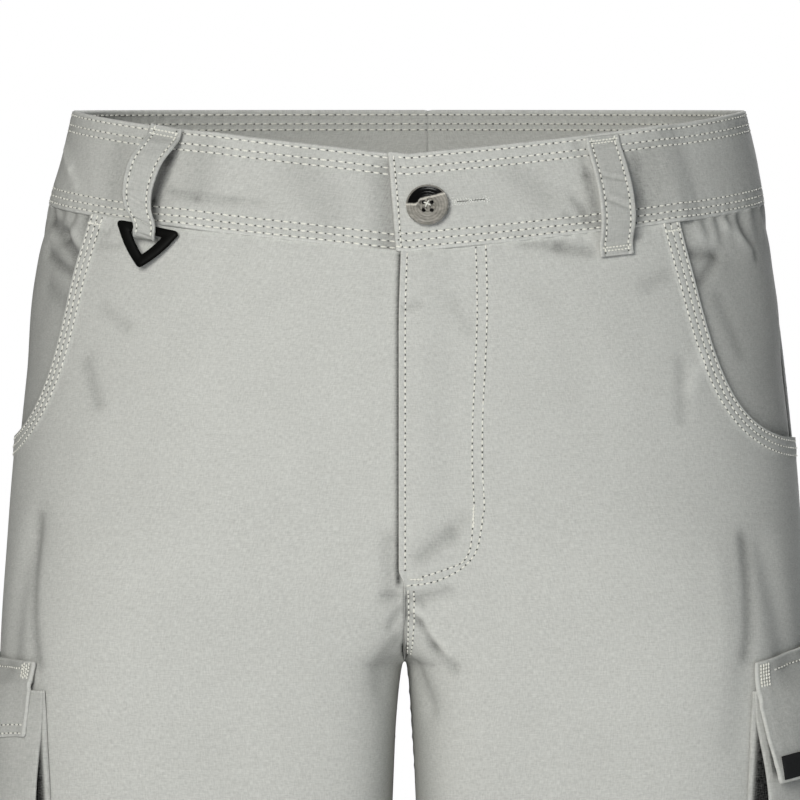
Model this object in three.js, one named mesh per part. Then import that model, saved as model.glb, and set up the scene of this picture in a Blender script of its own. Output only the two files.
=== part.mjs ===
// Men's cargo shorts in sage cotton twill, open at the waist and legs as they are when worn.
// Millimetres, +Z up. The front faces -Y and the wearer's left side is +X.
// The origin is the centre of the waist, halfway up the waistband at the sides.
import * as THREE from 'three';

// Driving sizes
const BAND_TOP = 22;
const BAND_FOOT = -22;
const CROTCH_LEVEL = -239;
const HEM_LEVEL = -500;
const CLOTH = 1.2;
const HEM_CLOTH = 2.4;
const HEM_HEIGHT = 25;
const BAND_CLOTH = 2.4;
const SEAM_GAP = 0.3;
const FRONT_DIP = 26;
const BACK_RISE = 6.3;
const FLY_FOOT = -201;
const RISE_BLEND = 100;

// Half width, depth to the front and back, and squareness of the ring at each level of one half
const BODY_RINGS = [
  { level: BAND_TOP, half: 160.6, front: 103, back: 110, corner: 2.15 },
  { level: BAND_FOOT, half: 170.6, front: 111, back: 117, corner: 2.2 },
  { level: -63, half: 177.6, front: 116, back: 127, corner: 2.3 },
  { level: -121, half: 184.8, front: 118, back: 137, corner: 2.45 },
  { level: -188, half: 190.2, front: 115, back: 134, corner: 2.6 },
  { level: CROTCH_LEVEL, half: 192.4, front: 111, back: 119, corner: 2.6 },
  { level: -310, half: 193.8, front: 106, back: 107, corner: 2.5 },
  { level: -400, half: 195, front: 102, back: 100, corner: 2.4 },
  { level: HEM_LEVEL, half: 196, front: 99, back: 96, corner: 2.3 },
];

// Drag lines and soft troughs: where each starts and ends, how wide and how deep it is
// side: 1 left, -1 right. girth: along the ring from the side, negative to the front.
const FOLDS = [
  { side: 1, level: -224, girth: -292, toLevel: -258, toGirth: -262, width: 7, depth: 2.2 },
  { side: 1, level: -206, girth: -255, toLevel: -210, toGirth: -225, width: 9, depth: 1.2 },
  { side: -1, level: -218, girth: -285, toLevel: -246, toGirth: -262, width: 8, depth: 1.8 },
  { side: -1, level: -176, girth: -70, toLevel: -250, toGirth: -62, width: 10, depth: 2.0 },
  { side: 1, level: -186, girth: -84, toLevel: -238, toGirth: -78, width: 10, depth: 1.8 },
  { side: 1, level: -226, girth: 150, toLevel: -262, toGirth: 226, width: 12, depth: 2.6 },
  { side: -1, level: -230, girth: 170, toLevel: -270, toGirth: 236, width: 12, depth: 2.4 },
  { side: 1, level: -330, girth: 120, toLevel: -420, toGirth: 170, width: 16, depth: 2.2 },
  { side: -1, level: -350, girth: -190, toLevel: -440, toGirth: -150, width: 16, depth: 2.0 },
];

// Side seams sit off the ring's own side by this much, as the garment is turned a little
const SIDE_SEAM = { left: 0, right: 28 };
const RIGHT_SEAM_AT_LEG = 14;
const BACK_SEAM_X = 10;

// Front pocket opening
const POCKET_WIDTH = 95.5;
const POCKET_DEPTH = 112;
const POCKET_CORNER = 4.5;

// Cargo pocket
const CARGO_TOP = -262;
const CARGO_FOOT = -436;
const CARGO_FRONT = -102;
const CARGO_BACK = 88;
const CARGO_STAND_OFF = 13;
const CARGO_STAND_OFF_TOP = 8.5;
const FLAP_LEVEL = -238;
const FLAP_FOOT = -292;

const smooth = (from, to, value) => THREE.MathUtils.smoothstep(value, from, to);

function fallingSmooth(high, low, value) {
  return 1 - smooth(low, high, value);
}

// Ring sizes at any level, by a cubic through the table
function sizesAt(level) {
  const last = BODY_RINGS.length - 1;
  let index = 0;
  while (index < last - 1 && level < BODY_RINGS[index + 1].level) index += 1;
  const upper = BODY_RINGS[index];
  const lower = BODY_RINGS[index + 1];
  const above = BODY_RINGS[Math.max(0, index - 1)];
  const below = BODY_RINGS[Math.min(last, index + 2)];
  const span = lower.level - upper.level;
  const t = (level - upper.level) / span;
  const sizes = {};
  for (const key of ['half', 'front', 'back', 'corner']) {
    const chord = (lower[key] - upper[key]) / span;
    const startSlope = above === upper ? chord : (lower[key] - above[key]) / (lower.level - above.level);
    const endSlope = below === lower ? chord : (below[key] - upper[key]) / (below.level - upper.level);
    sizes[key] = (2 * t ** 3 - 3 * t ** 2 + 1) * upper[key]
      + (t ** 3 - 2 * t ** 2 + t) * span * startSlope
      + (3 * t ** 2 - 2 * t ** 3) * lower[key]
      + (t ** 3 - t ** 2) * span * endSlope;
  }
  return sizes;
}

// One half's ring: where its middle is, and how far it reaches past the centre plane.
// Below the crotch it stops short of the plane, and only the inner thigh feels that reach.
function ringSpread(level, half) {
  const height = level - CROTCH_LEVEL;
  if (height <= 0) {
    return { middle: half / 2, reach: -Math.max(SEAM_GAP / 2, 0.68 * Math.sqrt(-height)), pinch: 5 };
  }
  const blend = smooth(0, RISE_BLEND, height);
  return {
    middle: (half / 2) * (1 - blend),
    reach: half * Math.min(1, 0.04 * Math.sqrt(height) * (1 - blend) + blend),
    pinch: 5 - 4 * smooth(0, 45, height),
  };
}

const RING_STEPS = 720;
const ringCache = new Map();

function signedPower(value, power) {
  return Math.sign(value) * Math.abs(value) ** power;
}

// One half's ring as points with their girth from the side
function ringAt(level) {
  const key = level.toFixed(4);
  if (ringCache.has(key)) return ringCache.get(key);
  const sizes = sizesAt(level);
  const { middle, reach, pinch } = ringSpread(level, sizes.half);
  const points = [];
  for (let step = 0; step <= RING_STEPS; step += 1) {
    const angle = (step / RING_STEPS) * 2 * Math.PI - Math.PI / 2;
    const along = -Math.cos(angle);
    const depth = along < 0 ? sizes.front : sizes.back;
    const across = Math.abs(Math.sin(angle)) ** (2 / sizes.corner);
    const outward = middle + (sizes.half - middle) * across;
    const inward = middle - middle * across - reach * across ** pinch;
    points.push([
      step > RING_STEPS / 4 && step < (3 * RING_STEPS) / 4 ? outward : inward,
      depth * signedPower(along, 2 / sizes.corner),
    ]);
  }
  const girths = [0];
  for (let step = 1; step <= RING_STEPS; step += 1) {
    const [x0, y0] = points[step - 1];
    const [x1, y1] = points[step];
    girths.push(girths[step - 1] + Math.hypot(x1 - x0, y1 - y0));
  }
  const side = girths[RING_STEPS / 2];
  const ring = { points, girths: girths.map((girth) => girth - side), sizes, reach };
  ring.frontEnd = reach > 0 ? girthWhere(ring, 0, -1) : ring.girths[0];
  ring.backEnd = reach > 0 ? girthWhere(ring, 0, 1) : ring.girths[RING_STEPS];
  ringCache.set(key, ring);
  return ring;
}

// The girth where the ring has this x, searched from the side to the front (-1) or back (1)
function girthWhere(ring, x, toward) {
  let step = RING_STEPS / 2;
  while (step + toward > 0 && step + toward < RING_STEPS && ring.points[step + toward][0] > x) step += toward;
  const near = ring.points[step][0];
  const far = ring.points[step + toward][0];
  const share = far === near ? 0 : THREE.MathUtils.clamp((x - near) / (far - near), 0, 1);
  return THREE.MathUtils.lerp(ring.girths[step], ring.girths[step + toward], share);
}

function pointOnRing(ring, girth) {
  let low = 0;
  let high = RING_STEPS;
  while (high - low > 1) {
    const middle = (low + high) >> 1;
    if (ring.girths[middle] <= girth) low = middle;
    else high = middle;
  }
  const share = (girth - ring.girths[low]) / (ring.girths[high] - ring.girths[low] || 1);
  return [
    THREE.MathUtils.lerp(ring.points[low][0], ring.points[high][0], share),
    THREE.MathUtils.lerp(ring.points[low][1], ring.points[high][1], share),
  ];
}

// Depth of the troughs at a place, as a positive number
function foldDepth(side, level, girth) {
  let depth = 0;
  for (const fold of FOLDS) {
    if (fold.side !== side) continue;
    const run = fold.toGirth - fold.girth;
    const rise = fold.toLevel - fold.level;
    const length2 = run * run + rise * rise;
    const along = ((girth - fold.girth) * run + (level - fold.level) * rise) / length2;
    const held = THREE.MathUtils.clamp(along, 0, 1);
    const away = Math.hypot(girth - fold.girth - held * run, level - fold.level - held * rise);
    depth += fold.depth * Math.exp(-((away / fold.width) ** 2));
  }
  return depth;
}

// Past the centre a ring above the crotch turns into the other half's; a leg's ring goes on round
function heldGirth(ring, girth) {
  const past = girth < ring.frontEnd ? ring.frontEnd : ring.backEnd;
  if (girth >= ring.frontEnd && girth <= ring.backEnd) return [girth, 1];
  if (ring.reach > 0) return [2 * past - girth, -1];
  const around = ring.backEnd - ring.frontEnd;
  return [girth < ring.frontEnd ? girth + around : girth - around, 1];
}

// A point of the cloth's outer face
function clothPoint(side, level, girth) {
  const ring = ringAt(level);
  const [held, flip] = heldGirth(ring, girth);
  const [x, y] = pointOnRing(ring, held);
  const fade = smooth(-170, BAND_FOOT, level);
  const share = Math.min(1, Math.abs(x) / ring.sizes.half);
  const tilt = y < 0 ? -FRONT_DIP * (1 - share) ** 0.65 : (BACK_RISE * y) / ring.sizes.back;
  const lean = 2 * smooth(-63, BAND_TOP, level);
  return new THREE.Vector3(side * flip * x + lean, y, level + tilt * fade);
}

function clothNormal(side, level, girth) {
  const step = 0.4;
  const along = clothPoint(side, level, girth + step).sub(clothPoint(side, level, girth - step));
  const up = clothPoint(side, level + step, girth).sub(clothPoint(side, level - step, girth));
  return along.cross(up).multiplyScalar(side).normalize();
}

// A point this far out from the cloth's outer face, troughs included
function at(side, level, girth, offset) {
  const normal = clothNormal(side, level, girth);
  return clothPoint(side, level, girth).addScaledVector(normal, offset - foldDepth(side, level, girth));
}

// A closed wall between an outer and an inner grid of points
function wall(name, material, rows, columns, place) {
  const outer = [];
  const inner = [];
  for (let row = 0; row < rows; row += 1) {
    for (let column = 0; column < columns; column += 1) {
      const [outerPoint, innerPoint] = place(row, column);
      outer.push(outerPoint);
      inner.push(innerPoint);
    }
  }
  const positions = [...outer, ...inner].flatMap((point) => point.toArray());
  const back = outer.length;
  const index = [];
  const quad = (a, b, c, d) => index.push(a, b, c, a, c, d);
  for (let row = 0; row < rows - 1; row += 1) {
    for (let column = 0; column < columns - 1; column += 1) {
      const a = row * columns + column;
      const c = a + columns;
      quad(a, c, c + 1, a + 1);
      quad(back + a, back + a + 1, back + c + 1, back + c);
    }
  }
  for (let column = 0; column < columns - 1; column += 1) {
    const foot = (rows - 1) * columns + column;
    quad(column, column + 1, back + column + 1, back + column);
    quad(foot, back + foot, back + foot + 1, foot + 1);
  }
  for (let row = 0; row < rows - 1; row += 1) {
    const left = row * columns;
    const right = left + columns - 1;
    quad(left, back + left, back + left + columns, left + columns);
    quad(right, right + columns, back + right + columns, back + right);
  }
  return solid(name, material, positions, index);
}

// A mesh whose faces are turned outward whatever way its grid runs
function solid(name, material, positions, index) {
  let volume = 0;
  const corner = (vertex) => new THREE.Vector3().fromArray(positions, vertex * 3);
  for (let face = 0; face < index.length; face += 3) {
    const [a, b, c] = [corner(index[face]), corner(index[face + 1]), corner(index[face + 2])];
    volume += a.dot(b.cross(c));
  }
  const turned = volume < 0 ? index.slice().reverse() : index;
  const geometry = new THREE.BufferGeometry();
  geometry.setAttribute('position', new THREE.Float32BufferAttribute(positions, 3));
  geometry.setIndex(turned);
  geometry.computeVertexNormals();
  const mesh = new THREE.Mesh(geometry, material);
  mesh.name = name;
  return mesh;
}

function shade(colour, roughness, metalness = 0) {
  return new THREE.MeshStandardMaterial({ color: colour, roughness, metalness, flatShading: true });
}

const twill = shade(0x9fa295, 0.9);
const twillBand = shade(0x989b8e, 0.9);
const twillTrim = shade(0x8f9286, 0.9);
const horn = shade(0x8f8578, 0.35);
const blackPlastic = shade(0x0c0c0c, 0.25);
const blackTape = shade(0x111111, 0.8);

// Levels of the panels' rows, closer together where the surface turns fast
const PANEL_TOP = BAND_FOOT - SEAM_GAP / 2;
const HIP_ROWS = [PANEL_TOP, -36, -56, -76, -94, -112, -131];
const RISE_ROWS = [-150, -168, -184, -194, FLY_FOOT, -210, -220, -229, -235, -237.8, -238.8, CROTCH_LEVEL];
const LEG_ROWS = [-241, -248, -258, -270, -288, -312, -345, -385, -430, -475, -476, HEM_LEVEL];
const BACK_ROWS = [...HIP_ROWS, ...RISE_ROWS, ...LEG_ROWS];
const OUTER_COLUMNS = 13;
const INNER_COLUMNS = 6;
const PANEL_COLUMNS = OUTER_COLUMNS + INNER_COLUMNS;
const COLUMN_SPLIT_X = 45;

// Columns run evenly from the side to a line near the centre, then evenly on to the centre's edge,
// so that the crotch moves only the last few. The first column is at the centre.
function panelGirth(level, centreEdge, sideEdge, column) {
  const split = girthWhere(ringAt(level), COLUMN_SPLIT_X, Math.sign(centreEdge));
  if (column < INNER_COLUMNS) return THREE.MathUtils.lerp(centreEdge, split, column / INNER_COLUMNS);
  return THREE.MathUtils.lerp(split, sideEdge, (column - INNER_COLUMNS) / (OUTER_COLUMNS - 1));
}

function sideSeam(side, level) {
  if (side > 0) return SIDE_SEAM.left;
  return RIGHT_SEAM_AT_LEG + (SIDE_SEAM.right - RIGHT_SEAM_AT_LEG) * smooth(CROTCH_LEVEL, -120, level);
}

// The pocket's cut edge at this share of its length: distance from the side seam, and depth
function pocketEdge(share) {
  const steps = 400;
  const curve = [];
  for (let step = 0; step <= steps; step += 1) {
    const turn = (step / steps) * Math.PI / 2;
    curve.push(new THREE.Vector2(
      POCKET_WIDTH * Math.cos(turn) ** (2 / POCKET_CORNER),
      POCKET_DEPTH * Math.sin(turn) ** (2 / POCKET_CORNER),
    ));
  }
  const lengths = [0];
  for (let step = 1; step <= steps; step += 1) {
    lengths.push(lengths[step - 1] + curve[step].distanceTo(curve[step - 1]));
  }
  const wanted = share * lengths[steps];
  const found = Math.max(1, lengths.findIndex((length) => length >= wanted));
  const part = (wanted - lengths[found - 1]) / (lengths[found] - lengths[found - 1]);
  return curve[found - 1].clone().lerp(curve[found], part);
}

// The front panel's rows: the level at the centre front, and the place at the side
const POCKET_STEPS = 12;

function frontRows(side) {
  const rows = [];
  for (let step = 0; step <= POCKET_STEPS; step += 1) {
    const share = step / POCKET_STEPS;
    const edge = pocketEdge(share);
    const level = PANEL_TOP - edge.y;
    const girth = sideSeam(side, level) - edge.x - SEAM_GAP / 2;
    rows.push({ centre: PANEL_TOP - POCKET_DEPTH * share, level, girth });
  }
  for (const level of [...RISE_ROWS, ...LEG_ROWS]) {
    rows.push({ centre: level, level, girth: sideSeam(side, level) - SEAM_GAP / 2 });
  }
  return rows;
}

// How far the fly's upper edge runs past the centre and how far the under edge runs below it
const FLY_OVERLAP = 2.4;
const FLY_UNDERLAP = 6;
const FLY_LIFT = 2;
const FLY_SINK = 1;

function overlapShare(level) {
  return smooth(FLY_FOOT, FLY_FOOT + 7, level);
}

function frontCentreEdge(side, level) {
  const end = ringAt(level).frontEnd;
  const reach = side > 0 ? FLY_OVERLAP : FLY_UNDERLAP;
  return end + SEAM_GAP / 2 - (reach + SEAM_GAP / 2) * overlapShare(level);
}

function flyLift(side, level, girth) {
  const fromEdge = girth - ringAt(level).frontEnd;
  if (side < 0) return -FLY_SINK * fallingSmooth(2, -FLY_UNDERLAP, fromEdge);
  return FLY_LIFT * smooth(FLY_FOOT - 9, FLY_FOOT, level) * fallingSmooth(24, 6, fromEdge);
}

function backCentreEdge(side, level) {
  const shift = side * BACK_SEAM_X * smooth(-210, -60, level);
  return ringAt(level).backEnd - shift - SEAM_GAP / 2;
}

function clothAt(level) {
  return level < HEM_LEVEL + HEM_HEIGHT - 0.5 ? HEM_CLOTH : CLOTH;
}

function frontPanel(name, side) {
  const rows = frontRows(side);
  return wall(name, twill, rows.length, PANEL_COLUMNS, (row, column) => {
    const share = column / (PANEL_COLUMNS - 1);
    const level = THREE.MathUtils.lerp(rows[row].centre, rows[row].level, share);
    const girth = panelGirth(level, frontCentreEdge(side, level), rows[row].girth, column);
    const lift = flyLift(side, level, girth);
    return [at(side, level, girth, lift), at(side, level, girth, lift - clothAt(level))];
  });
}

function backPanel(name, side) {
  return wall(name, twill, BACK_ROWS.length, PANEL_COLUMNS, (row, column) => {
    const level = BACK_ROWS[row];
    const seam = sideSeam(side, level) + SEAM_GAP / 2;
    const girth = panelGirth(level, backCentreEdge(side, level), seam, column);
    return [at(side, level, girth, 0), at(side, level, girth, -clothAt(level))];
  });
}

// The facing that shows in the pocket's opening; it runs a little way under the front panel
const FACING_UNDER = 1.1;
const FACING_DROP = CLOTH + 1.1;

function facing(name, side) {
  const turns = [0, 14, 26, 36, 48, 62, 76, 86].map(THREE.MathUtils.degToRad);
  const columns = 8;
  return wall(name, twillTrim, turns.length, columns, (row, column) => {
    const drop = FACING_UNDER * Math.sin(turns[row]) ** (2 / POCKET_CORNER);
    const level = PANEL_TOP - POCKET_DEPTH * drop;
    const reach = FACING_UNDER * POCKET_WIDTH * Math.cos(turns[row]) ** (2 / POCKET_CORNER);
    const seam = sideSeam(side, level) - SEAM_GAP / 2;
    const fromSeam = reach * (1 - column / (columns - 1));
    const edge = ((fromSeam / POCKET_WIDTH) ** POCKET_CORNER + drop ** POCKET_CORNER) ** (1 / POCKET_CORNER);
    const offset = -FACING_DROP * smooth(0.38, 0.74, edge);
    return [at(side, level, seam - fromSeam, offset), at(side, level, seam - fromSeam, offset - CLOTH)];
  });
}

// Waistband halves: the left one laps over the right one at the front
const BAND_PROUD = 0.8;
const BAND_LAP = 3.4;
const BAND_LAP_TOP = 6.4;
const BAND_UNDER = 24;

function bandOffset(side, fromCentre) {
  const near = fallingSmooth(48, 10, fromCentre);
  return BAND_PROUD + (side > 0 ? 1.5 : -1.7) * near;
}

function waistband(name, side) {
  const levels = [BAND_TOP, 0, BAND_FOOT + SEAM_GAP / 2];
  const columns = 34;
  return wall(name, twillBand, levels.length, columns, (row, column) => {
    const level = levels[row];
    const ring = ringAt(level);
    const lap = THREE.MathUtils.lerp(BAND_LAP_TOP, BAND_LAP, row / (levels.length - 1));
    const start = ring.frontEnd - (side > 0 ? lap : BAND_UNDER);
    const end = ring.backEnd - side * BACK_SEAM_X - SEAM_GAP / 2;
    const girth = THREE.MathUtils.lerp(start, end, column / (columns - 1));
    const offset = bandOffset(side, girth - ring.frontEnd);
    return [at(side, level, girth, offset), at(side, level, girth, offset - BAND_CLOTH)];
  });
}

// The two faces of a strip whose middle line runs through these points of a flat section
function strip(path, thickness) {
  return path.map((point, index) => {
    const before = path[Math.max(0, index - 1)];
    const after = path[Math.min(path.length - 1, index + 1)];
    const run = new THREE.Vector2(after[0] - before[0], after[1] - before[1]).normalize();
    const across = [-run.y * thickness * 0.5, run.x * thickness * 0.5];
    return {
      outer: [point[0] + across[0], point[1] + across[1]],
      inner: [point[0] - across[0], point[1] - across[1]],
    };
  });
}

// Flat frame on the cloth at one place, for small stiff pieces
function frameAt(side, level, girth, offset, turn) {
  const out = clothNormal(side, level, girth);
  const up = clothPoint(side, level + 1, girth).sub(clothPoint(side, level - 1, girth)).normalize();
  const across = up.clone().cross(out).normalize();
  const frame = new THREE.Matrix4().makeBasis(across, out.clone().cross(across), out);
  frame.multiply(new THREE.Matrix4().makeRotationZ(turn));
  frame.setPosition(clothPoint(side, level, girth).addScaledVector(out, offset));
  return frame;
}

// Belt loops, standing off the band, each at its share of the way from the side to the centre
const LOOP_WIDTH = 14;
const LOOP_CLOTH = 1.6;
const LOOP_SEAT = BAND_PROUD + 1.2;

// Up the band and out from it, from the top tack to the foot
const LOOP_SECTION = [
  [20, LOOP_SEAT], [15, LOOP_SEAT + 0.6], [11, LOOP_SEAT + 4.6], [4, LOOP_SEAT + 8],
  [-6, LOOP_SEAT + 8.4], [-17, LOOP_SEAT + 6.8], [-25, LOOP_SEAT + 3.6], [-29, LOOP_SEAT + 0.8],
  [-34, LOOP_SEAT + 0.2],
];

function beltLoop(name, side, end, share) {
  const faces = strip(LOOP_SECTION, LOOP_CLOTH);
  const columns = 3;
  return wall(name, twillTrim, faces.length, columns, (row, column) => {
    const across = LOOP_WIDTH * (column / (columns - 1) - 0.5);
    const placed = ([level, offset]) => at(side, level, share * ringAt(level)[end] + across, offset);
    return [placed(faces[row].outer), placed(faces[row].inner)];
  });
}

// The right front loop holds the hook ring: its strap wraps the ring's top bar at the foot.
// Both are set in a frame on the band, turned a little toward the front.
const RING_BAR = 4.2;
const RING_THICK = 2.4;
const RING_WIDTH = 32;
const RING_HEIGHT = 19.8;
const RING_SWING = Math.hypot(RING_BAR, RING_THICK) / 2;
const RING_LEVEL = -26.5;
const RING_GIRTH = -107;
const RING_OFFSET = BAND_PROUD + 3.4 + RING_SWING;
const RING_YAW = THREE.MathUtils.degToRad(16);
const RING_TURN = THREE.MathUtils.degToRad(6);
const RING_SHIFT = 1.2;
const WRAP = RING_SWING + 0.35 + LOOP_CLOTH / 2;
const WRAP_WIDTH = 9.6;

// The strap above the ring: height above the bar, distance out, sideways shift and width
const HOOK_STRAP = [
  { up: 49, out: -4.2, shift: -2.4, width: 14.5 },
  { up: 44, out: -3.4, shift: -2.5, width: 14.5 },
  { up: 39, out: 1.5, shift: -3, width: 14.5 },
  { up: 30, out: 5.6, shift: -5.6, width: 14.5 },
  { up: 18, out: 6.6, shift: -6.2, width: 13.5 },
  { up: 9, out: 5.8, shift: -4.4, width: 12.5 },
  { up: 3.6, out: WRAP + 0.4, shift: -1, width: WRAP_WIDTH + 1 },
];
const WRAP_SHIFT = 0.6;

function ringFrame(side) {
  const frame = frameAt(side, RING_LEVEL, RING_GIRTH, RING_OFFSET, 0);
  frame.multiply(new THREE.Matrix4().makeRotationY(-side * RING_YAW));
  return frame.multiply(new THREE.Matrix4().makeRotationZ(RING_TURN));
}

function hookLoop(name, side) {
  const section = [...HOOK_STRAP];
  for (const degrees of [0, 30, 60, 85]) {
    const turn = THREE.MathUtils.degToRad(degrees);
    section.push({
      up: -WRAP * Math.sin(turn), out: WRAP * Math.cos(turn), shift: WRAP_SHIFT, width: WRAP_WIDTH,
    });
  }
  section.push({ up: -WRAP, out: LOOP_SEAT - RING_OFFSET, shift: WRAP_SHIFT, width: WRAP_WIDTH });
  const faces = strip(section.map((place) => [place.up, place.out]), LOOP_CLOTH);
  const frame = ringFrame(side);
  const columns = 3;
  return wall(name, twillTrim, faces.length, columns, (row, column) => {
    const { shift, width } = section[row];
    const across = shift + width * (column / (columns - 1) - 0.5);
    const placed = ([up, out]) => new THREE.Vector3(across, up, out).applyMatrix4(frame);
    return [placed(faces[row].outer), placed(faces[row].inner)];
  });
}

// A triangle with rounded corners and swelling sides, its flat side up, as a closed path
function triangle(path, halfWidth, top, foot, radius, swell) {
  const corners = [
    new THREE.Vector2(-halfWidth, top),
    new THREE.Vector2(0, foot),
    new THREE.Vector2(halfWidth, top),
  ];
  corners.forEach((corner, index) => {
    const before = corners[(index + 2) % 3].clone().sub(corner).normalize();
    const after = corners[(index + 1) % 3].clone().sub(corner).normalize();
    const cut = radius / Math.tan(before.angleTo(after) / 2);
    const enter = corner.clone().addScaledVector(before, cut);
    const leave = corner.clone().addScaledVector(after, cut);
    if (index === 0) path.moveTo(enter.x, enter.y);
    else {
      const run = enter.clone().sub(path.currentPoint);
      const bulge = new THREE.Vector2(-run.y, run.x).normalize().multiplyScalar(-swell);
      const middle = path.currentPoint.clone().addScaledVector(run, 0.5).add(bulge);
      path.quadraticCurveTo(middle.x, middle.y, enter.x, enter.y);
    }
    path.quadraticCurveTo(corner.x, corner.y, leave.x, leave.y);
  });
  path.closePath();
  return path;
}

function hookRing(name, side) {
  const top = RING_BAR / 2;
  const slope = Math.atan2(RING_WIDTH / 2, RING_HEIGHT);
  const innerTop = -RING_BAR / 2;
  const innerHalf = (RING_WIDTH / 2) * (1 - RING_BAR / RING_HEIGHT) - RING_BAR / Math.cos(slope);
  const innerFoot = innerTop - innerHalf / Math.tan(slope);
  const shape = triangle(new THREE.Shape(), RING_WIDTH / 2 + 1, top, top - RING_HEIGHT - 1.5, 2.6, 1.6);
  shape.holes.push(triangle(new THREE.Path(), innerHalf + 0.6, innerTop, innerFoot - 0.9, 0.6, 0.6));
  const geometry = new THREE.ExtrudeGeometry(shape, { depth: RING_THICK, bevelEnabled: false, curveSegments: 4 });
  geometry.translate(RING_SHIFT, 0, -RING_THICK / 2);
  const mesh = new THREE.Mesh(geometry, blackPlastic);
  mesh.name = name;
  mesh.applyMatrix4(ringFrame(side));
  return mesh;
}

// Waist button with four holes, on the lapped end of the band
const BUTTON_X = 11;
const BUTTON_LEVEL = -1.5;
const BUTTON_RADIUS = 9.8;
const BUTTON_THICK = 3.2;
const BUTTON_HOLE = 0.85;
const BUTTON_PITCH = 1.85;

function waistButton(name) {
  const shape = new THREE.Shape().absarc(0, 0, BUTTON_RADIUS, 0, 2 * Math.PI);
  for (const [across, up] of [[1, 1], [-1, 1], [-1, -1], [1, -1]]) {
    const hole = new THREE.Path().absarc(across * BUTTON_PITCH, up * BUTTON_PITCH, BUTTON_HOLE, 0, 2 * Math.PI);
    shape.holes.push(hole);
  }
  const geometry = new THREE.ExtrudeGeometry(shape, { depth: BUTTON_THICK, bevelEnabled: false, curveSegments: 10 });
  const mesh = new THREE.Mesh(geometry, horn);
  mesh.name = name;
  const girth = girthWhere(ringAt(BUTTON_LEVEL), BUTTON_X, -1);
  mesh.applyMatrix4(frameAt(1, BUTTON_LEVEL, girth, BAND_PROUD + 2, 0));
  return mesh;
}

// Bellows cargo pocket: the gusset folds in like a V along both sides and closes the foot
const GUSSET_CLOTH = 1.4;
const GUSSET_FOLD = 8;
const FLOOR_SEAT = 1.6;

function cargoStandOff(level) {
  return THREE.MathUtils.lerp(CARGO_STAND_OFF, CARGO_STAND_OFF_TOP, smooth(-320, CARGO_TOP, level));
}

function cargoSection(seam, level, foldIn) {
  const front = CARGO_FRONT + seam;
  const back = CARGO_BACK + seam;
  const across = back - front;
  const stand = cargoStandOff(level);
  const path = [
    [front, 0.9], [front + 0.5 + foldIn, stand * 0.46], [front + 1, stand - 2], [front + 7, stand],
  ];
  for (const share of [0.16, 0.32, 0.5, 0.68, 0.84]) {
    path.push([front + share * across, stand + 1.5 * Math.sin(Math.PI * share)]);
  }
  path.push([back - 7, stand], [back - 1, stand - 2], [back - 0.5 - foldIn, stand * 0.46], [back, 0.9]);
  return path;
}

function cargoPocket(name, side) {
  const rows = [
    { level: CARGO_TOP, fold: 1 }, { level: -290, fold: 1 }, { level: -320, fold: 1 },
    { level: -350, fold: 1 }, { level: -378, fold: 1 }, { level: -404, fold: 1 }, { level: -422, fold: 0.3 },
    { level: CARGO_FOOT + GUSSET_CLOTH, fold: 0 },
    { level: CARGO_FOOT + GUSSET_CLOTH, fold: 0, floor: true },
    { level: CARGO_FOOT, fold: 0, floor: true },
  ];
  const columns = cargoSection(0, CARGO_FOOT, 0).length;
  return wall(name, twill, rows.length, columns, (row, column) => {
    const { level, fold, floor } = rows[row];
    const section = cargoSection(sideSeam(side, level), level, fold * GUSSET_FOLD);
    const { outer, inner } = strip(section, GUSSET_CLOTH)[column];
    const under = floor ? [section[column][0], FLOOR_SEAT] : inner;
    return [at(side, level, ...outer), at(side, level, ...under)];
  });
}

// Cargo flap: sewn to the leg along its top, then standing off over the pocket
const FLAP_CLOTH = 2;
const FLAP_CLEAR = 4.4;
const FLAP_SHAPE = {
  left: { taper: 4, rise: 0.16, frontDepth: 1 },
  right: { taper: 7, rise: 0, frontDepth: 0.62 },
};

// Down from the flap's seam and out from the cloth, for the middle of its thickness
const FLAP_SECTION = [
  [FLAP_LEVEL, 2.1], [FLAP_LEVEL - 5, 2.6], [FLAP_LEVEL - 12, 6.8],
  [FLAP_LEVEL - 20, CARGO_STAND_OFF_TOP + FLAP_CLEAR], [FLAP_LEVEL - 38, CARGO_STAND_OFF_TOP + FLAP_CLEAR + 2.2],
  [FLAP_FOOT, CARGO_STAND_OFF + FLAP_CLEAR],
];

// A point of the flap from its share of the width, its level and its offset from the cloth
function flapPoint(side, share, level, offset) {
  const { taper, rise, frontDepth } = side > 0 ? FLAP_SHAPE.left : FLAP_SHAPE.right;
  const down = (FLAP_LEVEL - level) / (FLAP_LEVEL - FLAP_FOOT);
  const inset = taper * smooth(0.1, 1, down) ** 1.4;
  const depth = THREE.MathUtils.lerp(frontDepth, 1, smooth(0, 0.6, share));
  const seam = sideSeam(side, level);
  const girth = THREE.MathUtils.lerp(CARGO_FRONT + seam + inset, CARGO_BACK + seam - inset, share);
  const slope = rise * (girth - CARGO_FRONT) * (1 - share * 0.5);
  return at(side, FLAP_LEVEL + (level - FLAP_LEVEL) * depth + slope, girth, offset);
}

function cargoFlap(name, side) {
  const faces = strip(FLAP_SECTION, FLAP_CLOTH);
  const columns = 13;
  return wall(name, twillBand, faces.length, columns, (row, column) => {
    const share = column / (columns - 1);
    const { outer, inner } = faces[row];
    return [flapPoint(side, share, ...outer), flapPoint(side, share, ...inner)];
  });
}

// Bare black tape label on the left flap, near its free front corner
const LABEL_LEVELS = [FLAP_FOOT + 11, FLAP_FOOT + 1.5];
const LABEL_SHARES = [0.04, 0.1, 0.16];
const LABEL_CLOTH = 0.5;

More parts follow.
